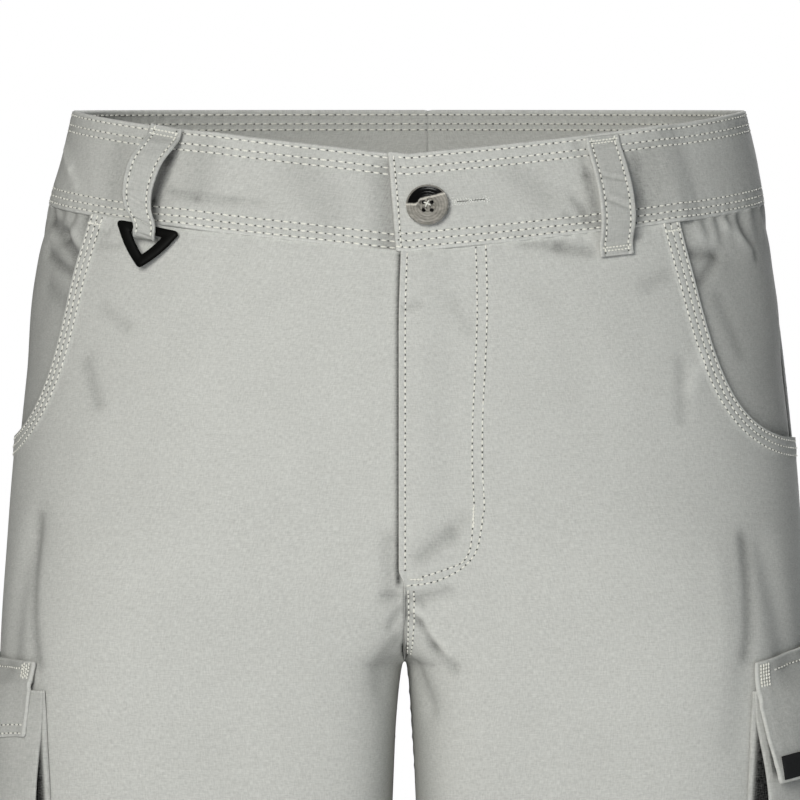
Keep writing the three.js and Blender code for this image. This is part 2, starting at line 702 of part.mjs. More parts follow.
function flapLabel(name, side) {
  return wall(name, blackTape, LABEL_LEVELS.length, LABEL_SHARES.length, (row, column) => {
    const offset = CARGO_STAND_OFF + FLAP_CLEAR + FLAP_CLOTH / 2 + 0.3 - row * 0.3;
    const place = (lift) => flapPoint(side, LABEL_SHARES[column], LABEL_LEVELS[row], offset + lift);
    return [place(LABEL_CLOTH), place(0)];
  });
}

const shorts = new THREE.Group();
shorts.add(
  frontPanel('front_left', 1),
  frontPanel('front_right', -1),
  backPanel('back_left', 1),
  backPanel('back_right', -1),
  facing('facing_left', 1),
  facing('facing_right', -1),
  waistband('waistband_left', 1),
  waistband('waistband_right', -1),
  beltLoop('loop_front_left', 1, 'frontEnd', 0.575),
  hookLoop('loop_front_right', -1),
  beltLoop('loop_back_left', 1, 'backEnd', 0.4),
  beltLoop('loop_back_right', -1, 'backEnd', 0.51),
  beltLoop('loop_back_centre', -1, 'backEnd', 0.935),
  hookRing('hook_ring', -1),
  waistButton('waist_button'),
  cargoPocket('cargo_pocket_left', 1),
  cargoPocket('cargo_pocket_right', -1),
  cargoFlap('cargo_flap_left', 1),
  cargoFlap('cargo_flap_right', -1),
  flapLabel('flap_label', 1),
);

export default shorts;
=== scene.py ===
"""Men's cargo shorts: cloth, stitching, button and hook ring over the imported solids, in a plain studio."""
import math
from functools import lru_cache

import bpy
import numpy as np
from bpy.props import FloatProperty, FloatVectorProperty, IntProperty, PointerProperty
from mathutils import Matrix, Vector


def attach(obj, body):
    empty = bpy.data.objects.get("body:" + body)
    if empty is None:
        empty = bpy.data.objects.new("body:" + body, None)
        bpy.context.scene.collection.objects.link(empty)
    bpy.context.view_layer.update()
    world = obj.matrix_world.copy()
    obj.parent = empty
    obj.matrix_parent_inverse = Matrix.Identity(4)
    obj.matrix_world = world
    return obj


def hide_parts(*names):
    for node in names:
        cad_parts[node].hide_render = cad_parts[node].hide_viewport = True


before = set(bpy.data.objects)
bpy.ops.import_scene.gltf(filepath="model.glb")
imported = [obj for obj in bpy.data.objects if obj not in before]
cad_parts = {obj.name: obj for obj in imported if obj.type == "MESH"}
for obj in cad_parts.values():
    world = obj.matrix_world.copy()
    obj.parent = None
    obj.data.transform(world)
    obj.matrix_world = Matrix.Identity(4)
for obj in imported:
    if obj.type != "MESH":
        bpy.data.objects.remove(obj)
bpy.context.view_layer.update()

bl_info = {
    "name": "Cargo shorts",
    "version": (1, 0, 0),
    "blender": (4, 5, 0),
    "location": "3D View > Sidebar > Shorts",
    "description": "Makes the cloth, stitching and trimmings of a pair of cargo shorts",
    "category": "Object",
}

# Sizes of the part in millimetres; levels run up and girths run round from each side
BAND_TOP = 22.0
BAND_FOOT = -22.0
CROTCH_LEVEL = -239.0
HEM_LEVEL = -500.0
CLOTH = 1.2
HEM_CLOTH = 2.4
HEM_HEIGHT = 25.0
HEM_TOP = HEM_LEVEL + HEM_HEIGHT
LOWER_LEG = CROTCH_LEVEL - 64.0
BAND_CLOTH = 2.4
SEAM_GAP = 0.3
FRONT_DIP = 26.0
BACK_RISE = 6.3
FLY_FOOT = -201.0
RISE_BLEND = 100.0
INNER_SQUARE = 2.2
PANEL_TOP = BAND_FOOT - SEAM_GAP / 2

# Level, half width, depth to the front, depth to the back, squareness
BODY_RINGS = np.array([
    (22, 160.6, 103, 110, 2.15),
    (-22, 170.6, 111, 117, 2.2),
    (-63, 177.6, 116, 127, 2.3),
    (-121, 184.8, 118, 137, 2.45),
    (-188, 190.2, 115, 134, 2.6),
    (-239, 192.4, 111, 119, 2.6),
    (-310, 193.8, 106, 107, 2.5),
    (-400, 195, 102, 100, 2.4),
    (-500, 196, 99, 96, 2.3),
], float)

# Side, then level and girth of both ends, width, depth of the largest troughs
FOLDS = (
    (1, -224, -292, -258, -262, 7, 2.2),
    (1, -206, -255, -210, -225, 9, 1.2),
    (-1, -218, -285, -246, -262, 8, 1.8),
    (-1, -176, -70, -250, -62, 10, 2.0),
    (1, -186, -84, -238, -78, 10, 1.8),
    (1, -226, 150, -262, 226, 12, 3.4),
    (-1, -230, 170, -270, 236, 12, 3.2),
    (1, -330, 120, -420, 170, 16, 2.2),
    (-1, -350, -190, -440, -150, 16, 2.0),
)

# Fine creases, written the same way; a depth below nothing is a ridge. The narrow ones also get painted shade,
# the narrow ridges a painted highlight
CREASES = (
    (1, -216, -265, -220, -260, 2.2, 1.0), (1, -220, -260, -231, -255, 2.4, 1.4),
    (1, -231, -255, -240, -246, 3.0, 1.1), (1, -215, -261, -234, -249, 3.0, -0.7),
    (1, -208, -263, -211, -257, 2.0, 1.0), (1, -208, -257, -204, -243, 2.4, 0.7),
    (1, -213, -264, -218, -260, 1.8, 0.8), (1, -188, -253, -177, -236, 3.5, 0.9),
    (1, -177, -236, -170, -229, 3.5, 0.5), (1, -51, -237, -49, -229, 2.0, 0.7),
    (-1, -206, -254, -206, -260, 2.2, 0.8), (-1, -213, -263, -221, -260, 2.2, 1.0),
    (-1, -227, -265, -238, -258, 4, 0.8), (1, -23, -172, -27, -158, 3.0, 0.9),
    (1, -27, -158, -31, -144, 3.0, 1.2), (1, -27, -122, -26, -117, 1.8, 1.0),
    (1, -51, -121, -47, -110, 4, 0.6), (1, -92, -113, -122, -118, 3.0, 0.6),
    (1, -106, -111, -91, -100, 4, -0.6), (1, -181, -94, -234, -106, 4.0, 1.3),
    (1, -242, -107, -273, -110, 8, 1.0), (1, -190, -114, -236, -120, 6, -0.6),
    (-1, -172, -70, -238, -89, 4.0, 1.2), (-1, -31, -76, -30, -82, 1.8, 0.7),
    (-1, -36, -78, -35, -91, 2.0, 0.7), (-1, -66, -92, -74, -108, 3.5, 0.6),
    (-1, -94, -88, -115, -100, 4.0, 0.8), (-1, -123, -113, -148, -123, 6, 0.5),
    (1, -54, -165, -121, -159, 12, 0.5), (-1, -189, -189, -226, -233, 14, 0.6),
    (1, -226, -223, -254, -195, 12, 0.7), (1, -49, -213, -66, -210, 4, 0.4),
    (-1, -32, -221, -64, -231, 5, 0.5), (-1, -180, -251, -208, -258, 4, 0.7),
    (1, -240, 190, -300, 214, 8, 1.2), (-1, -245, 205, -310, 180, 9, 1.2),
    (1, -150, 120, -215, 160, 14, 1.0), (-1, -160, 110, -228, 150, 14, 1.1),
    (1, -60, 150, -110, 190, 10, 0.8), (-1, -70, 200, -130, 160, 12, 0.8),
    (1, -256, 262, -300, 246, 7, 1.3), (-1, -252, 268, -292, 250, 7, 1.2), (1, -300, 60, -380, 96, 12, 1.0),
    (-1, -310, 40, -400, 88, 14, 1.0), (1, -330, -180, -420, -150, 16, 0.8),
    (-1, -380, -230, -440, -190, 14, 0.8), (1, -430, 160, -470, 220, 10, 0.9),
    (-1, -420, 120, -480, 60, 12, 0.9),
)
# Creases up to this width also get painted shade in the cloth's colour, ridges up to it a painted highlight
SHADED_WIDTH = 4.5
# Creases of the facings in the front pockets' openings, which also get painted shade
FACING_CREASES = (
    (1, -38, -90, -40, -74, 2.6, 1.3), (1, -42, -76, -52, -89, 3.0, 1.2), (1, -29, -85, -34, -76, 5, -0.9),
    (1, -28, -63, -41, -48, 3.4, -0.9), (1, -26, -52, -44, -44, 3.4, 1.0), (1, -63, -80, -89, -72, 5, 0.6),
    (-1, -27, -20, -34, -44, 3.2, 2.2), (-1, -34, -44, -43, -63, 3.2, 2.4), (-1, -44, -30, -51, -64, 3.0, 1.7),
    (-1, -31, -52, -38, -64, 2.6, -1.1), (-1, -59, -40, -65, -61, 5, 0.8), (-1, -24, -60, -30, -70, 2.4, 1.0),
)
# Strips of the band beside the loops that get painted shadow
BAND_SHADES = (
    (-1, 17, -101, 8, -101.5, 2.6, 1.5), (-1, 8, -101.5, -12, -101.5, 3.2, 1.9),
    (-1, -12, -101.5, -21, -106, 2.4, 1.5), (1, 20, -135.5, 4, -135.5, 1.8, 1.0),
    (1, 4, -135.5, -21, -137.5, 2.6, 1.5), (1, 10, -109, -20, -115, 2.4, 0.7),
)
# Creases of the band, which also get painted shade
BAND_CREASES = (
    (-1, -6, -108, -8, -124, 1.9, 0.9), (-1, -8, -124, -7, -141, 1.8, 0.8),
    (-1, -7, -141, -7, -155, 1.8, 0.5), (-1, 5, -16, -4, -38, 2.6, -0.9),
    (-1, -4, -38, -11, -50, 2.6, -0.7), (-1, 15, -203, -21, -218, 6, 1.0),
    (-1, 17, -206, -22, -222, 3, 0.6), (1, -6, -145, -16, -142, 2.4, 0.9),
    (1, -13, -151, -17, -146, 2.2, 0.7), (1, -10, -141, -19, -141, 2.0, 0.8),
    (1, 11, -100, -13, -105, 9, 0.9), (1, 8, -109, -10, -113, 5, 0.6), (-1, 9, -71, -12, -77, 8, 0.8),
    (-1, 14, -118, -4, -123, 8, 0.6), (1, 8, -166, -3, -158, 7, 0.5), (-1, 13, -165, -9, -187, 9, 0.5),
)

SIDE_SEAM_LEFT = 0.0
SIDE_SEAM_RIGHT = 28.0
RIGHT_SEAM_AT_LEG = 14.0
BACK_SEAM_X = 10.0
POCKET_WIDTH = 95.5
POCKET_DEPTH = 112.0
POCKET_CORNER = 4.5
POCKET_HEM = 9.5
POCKET_ROWS = (1.4, 4.9, 8.5)
FLY_OVERLAP = 2.4
FLY_UNDERLAP = 6.0
FLY_LIFT = 2.0
FLY_SINK = 1.0
FACING_UNDER = 1.1
FACING_DROP = CLOTH + 1.1
BAND_PROUD = 0.8
BAND_LAP = 4.4
BAND_LAP_TOP = 9.2
BAND_UNDER = 24.0
BAND_TURN = {1: (-97.0, 20.0), -1: (-122.0, 26.0)}
BAND_TURN_OUT = 1.6
BAND_TURN_IN = 1.8
BAND_ROWS = (20.6, 16.1, 13.1, -14.3, -17.6, -20.6)
LOOP_WIDTH = 15.4
LOOP_CLOTH = 1.6
LOOP_SEAT = BAND_PROUD + 1.2
LOOP_SECTION = (
    (20.5, LOOP_SEAT), (16, LOOP_SEAT + 0.3), (11, LOOP_SEAT + 2.2), (4, LOOP_SEAT + 4.6), (-6, LOOP_SEAT + 7),
    (-17, LOOP_SEAT + 7), (-25, LOOP_SEAT + 3.6), (-29, LOOP_SEAT + 0.8), (-34.5, LOOP_SEAT + 0.2),
)
RING_BAR = 4.2
RING_THICK = 2.4
RING_WIDTH = 32.0
RING_HEIGHT = 19.8
RING_SWING = math.hypot(RING_BAR, RING_THICK) / 2
RING_LEVEL = -26.5
RING_GIRTH = -107.0
RING_OFFSET = BAND_PROUD + 3.4 + RING_SWING
RING_YAW = math.radians(16)
RING_TURN = math.radians(6)
RING_SHIFT = 1.2
WRAP = RING_SWING + 0.35 + LOOP_CLOTH / 2
WRAP_WIDTH = 9.6
WRAP_SHIFT = 0.6
# Height above the ring's top bar, distance out, sideways shift and width
HOOK_STRAP = (
    (49, -4.2, -2.4, 14.5), (44, -3.4, -2.5, 14.5), (39, 1.5, -3, 14.5), (30, 5.6, -5.6, 14.5),
    (18, 6.6, -6.2, 13.5), (9, 5.8, -4.4, 12.5), (3.6, WRAP + 0.4, -1, WRAP_WIDTH + 1),
)
BUTTON_X = 8.9
BUTTON_LEVEL = -2.9
BUTTON_RADIUS = 9.8
BUTTON_THICK = 3.2
BUTTON_HOLE = 1.0
BUTTON_TILT = math.radians(14)
BUTTON_PITCH = 1.85
CROSS_REACH = BUTTON_PITCH * 0.72
CARGO_TOP = -251.0
CARGO_FOOT = -436.0
CARGO_FRONT = -102.0
CARGO_BACK = 88.0
CARGO_SHIFT = {1: 0.0, -1: -6.5}
CARGO_EDGE = {1: 12.0, -1: 7.8}
CARGO_OPEN = {1: 5.0, -1: 3.6}
CARGO_STAND_OFF = 13.0
CARGO_STAND_OFF_TOP = 8.5
GUSSET_CLOTH = 1.4
GUSSET_FOLD = 13.0
FLAP_LEVEL = -238.0
FLAP_FOOT = -292.0
FLAP_CLOTH = 2.0
FLAP_CLEAR = 4.4
FLAP_TAPER = {1: 4.0, -1: 1.5}
FLAP_RISE = {1: 0.16, -1: 0.0}
FLAP_FRONT_DEPTH = {1: 1.0, -1: 0.62}
FLAP_SECTION = (
    (FLAP_LEVEL, 2.1), (FLAP_LEVEL - 5, 2.6), (FLAP_LEVEL - 12, 6.8),
    (FLAP_LEVEL - 20, CARGO_STAND_OFF_TOP + FLAP_CLEAR),
    (FLAP_LEVEL - 38, CARGO_STAND_OFF_TOP + FLAP_CLEAR + 2.2),
    (FLAP_FOOT, CARGO_STAND_OFF + FLAP_CLEAR),
)
# The front edge of each flap: level and distance out
FLAP_EDGE = {
    1: ((-238, 2.1), (-243, 2.4), (-250, 3.4), (-258, 5.2), (-272, 9.2), (-283, 13.2), (-292, 16.8)),
    -1: ((-238, 2.1), (-243, 2.3), (-250, 3.0), (-258, 3.9), (-272, 5.2), (-283, 6.2), (-292, 7.4)),
}
LABEL_LEVELS = (FLAP_FOOT + 11.6, FLAP_FOOT + 1.0)
LABEL_SHARES = (0.009, 0.13)

# The fly's curved double row: distance from the centre plane and level
FLY_OUTER_ROW = (
    (36.3, -23.5), (36.0, -107.5), (36.3, -160), (35.8, -169), (34.6, -178), (32.9, -185), (29.9, -189.8),
    (24.8, -194.3), (19.3, -197.3), (13.8, -199.4), (7.0, -200.6), (1.8, -201.0),
)
FLY_INNER_ROW = (
    (31.7, -23.5), (31.5, -107.5), (31.6, -160), (31.3, -170), (30.4, -182), (28.4, -188), (25.0, -191.4),
    (17.0, -194.4), (8.3, -197),
)

MM = 0.001
SIDES = ((1, "left"), (-1, "right"))
SHORTS_BODY = "shorts"
RING_BODY = "ring"
RING_STEPS = 720
ANGLES = np.linspace(-math.pi / 2, 3 * math.pi / 2, RING_STEPS + 1)
ALONG = -np.cos(ANGLES)
ACROSS = np.abs(np.sin(ANGLES))
OUTER_HALF = (np.arange(RING_STEPS + 1) > RING_STEPS // 4) & (np.arange(RING_STEPS + 1) < 3 * RING_STEPS // 4)


# The cloth's surface, worked out the same way as the solids

def smooth(low, high, value):
    share = np.clip((np.asarray(value, float) - low) / (high - low), 0, 1)
    return share * share * (3 - 2 * share)


def lerp(low, high, share):
    return low + (high - low) * share


def sizes_at(level):
    """Ring sizes at a level, by a cubic through the table."""
    levels = BODY_RINGS[:, 0]
    last = len(levels) - 1
    index = 0
    while index < last - 1 and level < levels[index + 1]:
        index += 1
    upper, lower = BODY_RINGS[index], BODY_RINGS[index + 1]
    above, below = BODY_RINGS[max(0, index - 1)], BODY_RINGS[min(last, index + 2)]
    span = lower[0] - upper[0]
    t = (level - upper[0]) / span
    chord = (lower[1:] - upper[1:]) / span
    start = chord if index == 0 else (lower[1:] - above[1:]) / (lower[0] - above[0])
    end = chord if index + 1 == last else (below[1:] - upper[1:]) / (below[0] - upper[0])
    return (
        (2 * t ** 3 - 3 * t ** 2 + 1) * upper[1:]
        + (t ** 3 - 2 * t ** 2 + t) * span * start
        + (3 * t ** 2 - 2 * t ** 3) * lower[1:]
        + (t ** 3 - t ** 2) * span * end
    )


class Ring:
    """One half's cross-section at a level, as points with their girth from the side."""

    def __init__(self, level):
        self.half, front, self.back, corner = sizes_at(level)
        height = level - CROTCH_LEVEL
        blend = float(smooth(0, RISE_BLEND, height))
        if height <= 0:
            middle = self.half / 2
            self.reach = -max(SEAM_GAP / 2, 0.68 * math.sqrt(-height))
            pinch = 5.0
        else:
            middle = (self.half / 2) * (1 - blend)
            self.reach = self.half * min(1, 0.011 * height / (1 + height / 40) * (1 - blend) + blend)
            pinch = 5 - 4 * float(smooth(0, 45, height))
        corner = np.where(OUTER_HALF, corner, corner + INNER_SQUARE * (1 - blend))
        across = ACROSS ** (2 / corner)
        outward = middle + (self.half - middle) * across
        inward = middle - middle * across - self.reach * across ** pinch
        self.x = np.where(OUTER_HALF, outward, inward)
        self.y = np.where(ALONG < 0, front, self.back) * np.sign(ALONG) * np.abs(ALONG) ** (2 / corner)
        girth = np.concatenate([[0], np.cumsum(np.hypot(np.diff(self.x), np.diff(self.y)))])
        self.girth = girth - girth[RING_STEPS // 2]
        self.front_end = self.where(0, -1) if self.reach > 0 else self.girth[0]
        self.back_end = self.where(0, 1) if self.reach > 0 else self.girth[-1]

    def where(self, x, toward):
        """The girth that has this x, searched from the side to the front (-1) or back (1)."""
        middle = RING_STEPS // 2
        part = slice(middle, None, -1) if toward < 0 else slice(middle, None)
        xs, girths = self.x[part], self.girth[part]
        beyond = np.nonzero(xs[1:] <= x)[0]
        k = beyond[0] + 1 if beyond.size else len(xs) - 1
        near, far = xs[k - 1], xs[k]
        share = 0 if far == near else min(max((x - near) / (far - near), 0), 1)
        return float(lerp(girths[k - 1], girths[k], share))


@lru_cache(maxsize=6000)
def ring_at(level):
    return Ring(level)


def ring_near(level):
    return ring_at(round(float(level) * 20) / 20)


def cloth_points(side, level, girth):
    """Points of the cloth's outer face, in millimetres."""
    level, girth = np.broadcast_arrays(np.asarray(level, float), np.asarray(girth, float))
    shape = level.shape
    level, girth = level.ravel(), girth.ravel()
    keys, inverse = np.unique(np.round(level * 20), return_inverse=True)
    order = np.argsort(inverse, kind="stable")
    starts = np.searchsorted(inverse[order], np.arange(len(keys) + 1))
    x, y = np.empty(level.size), np.empty(level.size)
    half, back = np.empty(level.size), np.empty(level.size)
    for k, key in enumerate(keys):
        index = order[starts[k]:starts[k + 1]]
        ring = ring_at(key / 20)
        held, flip = girth[index].copy(), np.ones(index.size)
        before, after = held < ring.front_end, held > ring.back_end
        if ring.reach > 0:
            held[before] = 2 * ring.front_end - held[before]
            held[after] = 2 * ring.back_end - held[after]
            flip[before | after] = -1
        else:
            around = ring.back_end - ring.front_end
            held[before] += around
            held[after] -= around
        x[index] = np.interp(held, ring.girth, ring.x) * flip
        y[index] = np.interp(held, ring.girth, ring.y)
        half[index], back[index] = ring.half, ring.back
    fade = smooth(-170, BAND_FOOT, level)
    share = np.minimum(1, np.abs(x) / half)
    tilt = np.where(y < 0, -FRONT_DIP * (1 - share) ** 0.65, BACK_RISE * y / back)
    lean = 2 * smooth(-63, BAND_TOP, level)
    points = np.stack([side * x + lean, y, level + tilt * fade], axis=-1)
    return points.reshape(shape + (3,))


def cloth_normals(side, level, girth):
    step = 0.4
    along = cloth_points(side, level, girth + step) - cloth_points(side, level, girth - step)
    up = cloth_points(side, level + step, girth) - cloth_points(side, level - step, girth)
    normal = np.cross(along, up) * side
    return normal / np.linalg.norm(normal, axis=-1, keepdims=True)


def segment_away(level0, girth0, level1, girth1, level, girth):
    """Distance of places from the straight line between two (level, girth) points."""
    run, rise = girth1 - girth0, level1 - level0
    along = ((girth - girth0) * run + (level - level0) * rise) / (run * run + rise * rise)
    held = np.clip(along, 0, 1)
    return np.hypot(girth - girth0 - held * run, level - level0 - held * rise)


def troughs(rows, side, level, girth, widest=99):
    """Depth of one side's creases; those wider than the widest are left out."""
    depth = np.zeros(np.broadcast(level, girth).shape)
    for row_side, *ends, width, deep in rows:
        if row_side == side and width <= widest:
            depth += deep * np.exp(-((segment_away(*ends, level, girth) / width) ** 2))
    return depth


def unevenness(side, level, girth):
    """The cloth's own soft waviness."""
    slow = np.sin(girth / 37 + 1.3 * side + level / 90) * np.sin(level / 47 + 0.7)
    quick = np.sin(girth / 17 + level / 29 + 2.1 * side) * np.sin(level / 23 - girth / 61 + side)
    calm = 1 - 0.7 * smooth(-60, BAND_FOOT, level)
    return (0.45 * slow + 0.22 * quick) * calm


def relief(side, level, girth):
    level, girth = np.asarray(level, float), np.asarray(girth, float)
    return (
        unevenness(side, level, girth)
        - troughs(FOLDS, side, level, girth)
        - troughs(CREASES, side, level, girth)
    )


def at(side, level, girth, offset):
    """Points this far out from the cloth's outer face, creases included."""
    level, girth = np.broadcast_arrays(np.asarray(level, float), np.asarray(girth, float))
    out = np.asarray(offset + relief(side, level, girth))
    return cloth_points(side, level, girth) + cloth_normals(side, level, girth) * out[..., None]


def ripple(along, away, wave, width, depth):
    """Small puckers beside a seam."""
    phase = 2 * math.pi * along / wave + 1.7 * np.sin(along / 11)
    return depth * np.sin(phase) * np.exp(-((away / width) ** 2))


def groove(away, depth=0.24, width=0.75):
    return -depth * np.exp(-((away / width) ** 2))


def side_seam(side, level):
    if side > 0:
        return np.full(np.shape(level), SIDE_SEAM_LEFT)
    return lerp(RIGHT_SEAM_AT_LEG, SIDE_SEAM_RIGHT, smooth(CROTCH_LEVEL, -120, level))


def each(function, values):
    values = np.asarray(values, float)
    return np.array([function(value) for value in values.ravel()]).reshape(values.shape)


def front_end(level):
    return each(lambda value: ring_near(value).front_end, level)


def back_end(level):
    return each(lambda value: ring_near(value).back_end, level)


def front_centre_edge(side, level):
    reach = FLY_OVERLAP if side > 0 else FLY_UNDERLAP
    return front_end(level) + SEAM_GAP / 2 - (reach + SEAM_GAP / 2) * smooth(FLY_FOOT, FLY_FOOT + 7, level)


def back_centre_edge(side, level):
    shift = side * BACK_SEAM_X * smooth(-210, -60, level)
    return back_end(level) - shift - SEAM_GAP / 2


def fly_lift(side, level, girth):
    from_edge = girth - front_end(level)
    if side < 0:
        return -FLY_SINK * (1 - smooth(-FLY_UNDERLAP, 2, from_edge))
    return FLY_LIFT * smooth(FLY_FOOT - 9, FLY_FOOT, level) * (1 - smooth(6, 24, from_edge))


def pocket_distance(side, level, girth):
    """Distance on the panel from the front pocket's cut edge, near enough beside it."""
    across = np.maximum(side_seam(side, level) - SEAM_GAP / 2 - girth, 0) / POCKET_WIDTH
    down = np.maximum(PANEL_TOP - level, 0) / POCKET_DEPTH
    edge = np.maximum((across ** POCKET_CORNER + down ** POCKET_CORNER) ** (1 / POCKET_CORNER), 1e-6)
    slope = edge ** (1 - POCKET_CORNER) * np.hypot(
        across ** (POCKET_CORNER - 1) / POCKET_WIDTH, down ** (POCKET_CORNER - 1) / POCKET_DEPTH)
    return (edge - 1) / np.maximum(slope, 1e-6)


def path_away(path, level, girth):
    """Distance of places from a path of (level, girth) points."""
    best = np.full(np.broadcast(level, girth).shape, 1e9)
    for start, end in zip(path[:-1], path[1:]):
        best = np.minimum(best, segment_away(*start, *end, level, girth))
    return best


@lru_cache(maxsize=4)
def fly_row(rows):
    """The fly's curved row as (level, girth) points."""
    return tuple((level, ring_near(level).where(x, -1)) for x, level in rows)


def front_offset(side, level, girth):
    """How far the front panel's face stands off the cloth: fly, pocket hem and grooves of the stitching."""
    lift = fly_lift(side, level, girth)
    pocket = pocket_distance(side, level, girth)
    near_pocket = smooth(-150, -138, level)
    lift = lift + 0.6 * (1 - smooth(POCKET_HEM - 0.7, POCKET_HEM + 0.5, pocket)) * near_pocket
    for row in POCKET_ROWS:
        lift = lift + groove(pocket - row) * near_pocket
    lift = lift + ripple(level, pocket - 5, wave=6.4, width=5, depth=0.12) * near_pocket
    lift = lift + ripple(girth, PANEL_TOP - level, wave=9, width=6, depth=0.22)
    if side > 0:
        edge = girth - front_centre_edge(side, level)
        lift = lift + groove(edge - 2.6, depth=0.2) + ripple(level, edge - 2.6, wave=6, width=4, depth=0.14)
        for row in (FLY_OUTER_ROW, FLY_INNER_ROW):
            away = path_away(fly_row(row), level, girth)
            lift = lift + groove(away, depth=0.22, width=1.0)
            lift = lift + ripple(level + girth, away, wave=6.6, width=5, depth=0.1)
    return lift


def front_shade(side, level, girth):
    """Painted shade under the band, beside the fly's edge and along the seam below it."""
    from_end = girth - front_end(level)
    shade = 0.9 * np.exp(-(((PANEL_TOP - level) / 1.1) ** 2))
    fly = smooth(FLY_FOOT - 2, FLY_FOOT + 2, level)
    if side < 0:
        shade = shade + fly * np.exp(-(((from_end - FLY_OVERLAP - 0.6) / 1.3) ** 2)) * 3.4
    below = (1 - fly) * smooth(CROTCH_LEVEL - 6, CROTCH_LEVEL + 4, level)
    gap = smooth(CROTCH_LEVEL - 3, CROTCH_LEVEL + 2, level)
    gap = gap * (1 - smooth(CROTCH_LEVEL + 8, CROTCH_LEVEL + 12, level))
    shade = shade + gap * np.exp(-(((from_end - 0.6) / 1.6) ** 2)) * 2.6
    return shade + below * np.exp(-((from_end / 1.0) ** 2)) * 2.2


# Meshes

def linked_object(name, data):
    """An object at the origin, in the scene."""
    piece = bpy.data.objects.new(name, data)
    bpy.context.scene.collection.objects.link(piece)
    return piece


def marked(piece, node=None, body=SHORTS_BODY):
    """The piece, riding its body and the solid that it stands for."""
    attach(piece, body)
    if node:
        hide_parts(node)
    return piece


def mesh_object(name, points, faces, material, uv=None, wear_and_painted_shade=None):
    """An object at the origin whose mesh is in metres, with its faces turned outward."""
    points = np.asarray(points, float)
    faces = np.asarray(faces)
    first = points[faces[:, 0]]
    volume = 0.0
    for k in range(1, faces.shape[1] - 1):
        volume += float((first * np.cross(points[faces[:, k]], points[faces[:, k + 1]])).sum())
    if volume < 0:
        faces = faces[:, ::-1]
    mesh = bpy.data.meshes.new(name)
    mesh.vertices.add(len(points))
    mesh.vertices.foreach_set("co", (points * MM).ravel())
    mesh.loops.add(faces.size)
    mesh.loops.foreach_set("vertex_index", faces.ravel().astype(np.int32))
    mesh.polygons.add(len(faces))
    mesh.polygons.foreach_set("loop_start", (np.arange(len(faces)) * faces.shape[1]).astype(np.int32))
    mesh.update(calc_edges=True)
    mesh.validate()
    mesh.shade_smooth()
    mesh.materials.append(material)
    if uv is not None:
        layer = mesh.uv_layers.new(name="cloth")
        layer.data.foreach_set("uv", (np.asarray(uv)[faces.ravel()] * MM).ravel())
    # Colour shift per point: painted shade where negative, paler worn edges and painted highlights where
    # positive
    if wear_and_painted_shade is not None:
        attribute = mesh.attributes.new("wear_and_painted_shade", "FLOAT", "POINT")
        attribute.data.foreach_set("value", np.asarray(wear_and_painted_shade, np.float32))
    return linked_object(name, mesh)


def triangles_object(name, points, quads, caps, material):
    """A closed mesh of quads and triangles; a cap row repeats its last corner."""
    corners = [tuple(int(v) for v in face) for face in quads]
    corners += [tuple(int(v) for v in face[:3]) for face in caps]
    points = np.asarray(points, float)
    volume = 0.0
    for face in corners:
        for k in range(1, len(face) - 1):
            volume += float(points[face[0]] @ np.cross(points[face[k]], points[face[k + 1]]))
    if volume < 0:
        corners = [face[::-1] for face in corners]
    mesh = bpy.data.meshes.new(name)
    mesh.from_pydata([tuple(point) for point in points * MM], [], corners)
    mesh.materials.append(material)
    mesh.update()
    mesh.shade_smooth()
    return linked_object(name, mesh)


def rim_of(rows, columns):
    top = [(0, j) for j in range(columns)]
    right = [(i, columns - 1) for i in range(1, rows)]
    foot = [(rows - 1, j) for j in range(columns - 2, -1, -1)]
    left = [(i, 0) for i in range(rows - 2, 0, -1)]
    return top + right + foot + left


def shell(name, outer, inner, material, uv, wear_depth=1.0, shade=None):
    """A closed sheet of cloth from its outer and inner grids, with a soft fold along every edge; the shade
    given is painted into its outer face's colour as painted shade, and its folded edges are paler as wear.
    """
    rows, columns = outer.shape[:2]
    grid = np.arange(rows * columns).reshape(rows, columns)
    quads = np.stack([grid[:-1, :-1], grid[1:, :-1], grid[1:, 1:], grid[:-1, 1:]], axis=-1).reshape(-1, 4)
    count = rows * columns
    faces = [quads, quads[:, ::-1] + count]
    rim = rim_of(rows, columns)
    rim_index = np.array([i * columns + j for i, j in rim])
    middle, rim_uv = [], []
    for i, j in rim:
        ni, nj = min(max(i, 1), rows - 2), min(max(j, 1), columns - 2)
        out = outer[i, j] - outer[ni, nj]
        out = out / (np.linalg.norm(out) + 1e-9)
        thick = np.linalg.norm(outer[i, j] - inner[i, j])
        middle.append((outer[i, j] + inner[i, j]) / 2 + out * thick * 0.38)
        rim_uv.append(uv[i, j])
    loop = np.arange(len(rim)) + 2 * count
    follow = np.roll(np.arange(len(rim)), -1)
    faces.append(np.stack([rim_index, rim_index[follow], loop[follow], loop], axis=-1))
    faces.append(np.stack([loop, loop[follow], rim_index[follow] + count, rim_index + count], axis=-1))
    points = np.concatenate([outer.reshape(-1, 3), inner.reshape(-1, 3), np.array(middle)])
    flat_uv = uv.reshape(-1, 2)
    all_uv = np.concatenate([flat_uv, flat_uv, np.array(rim_uv)])
    wear_and_painted_shade = np.zeros(len(points))
    # Painted shade in the outer face's colour: darker where the shade is positive, a painted highlight where
    # it is negative; the folded edges are paler as wear
    if shade is not None:
        wear_and_painted_shade[:count] = -shade.ravel()
    wear_and_painted_shade[rim_index] = 0.6 * wear_depth
    wear_and_painted_shade[2 * count:] = wear_depth
    return mesh_object(name, points, np.concatenate(faces), material, all_uv, wear_and_painted_shade)


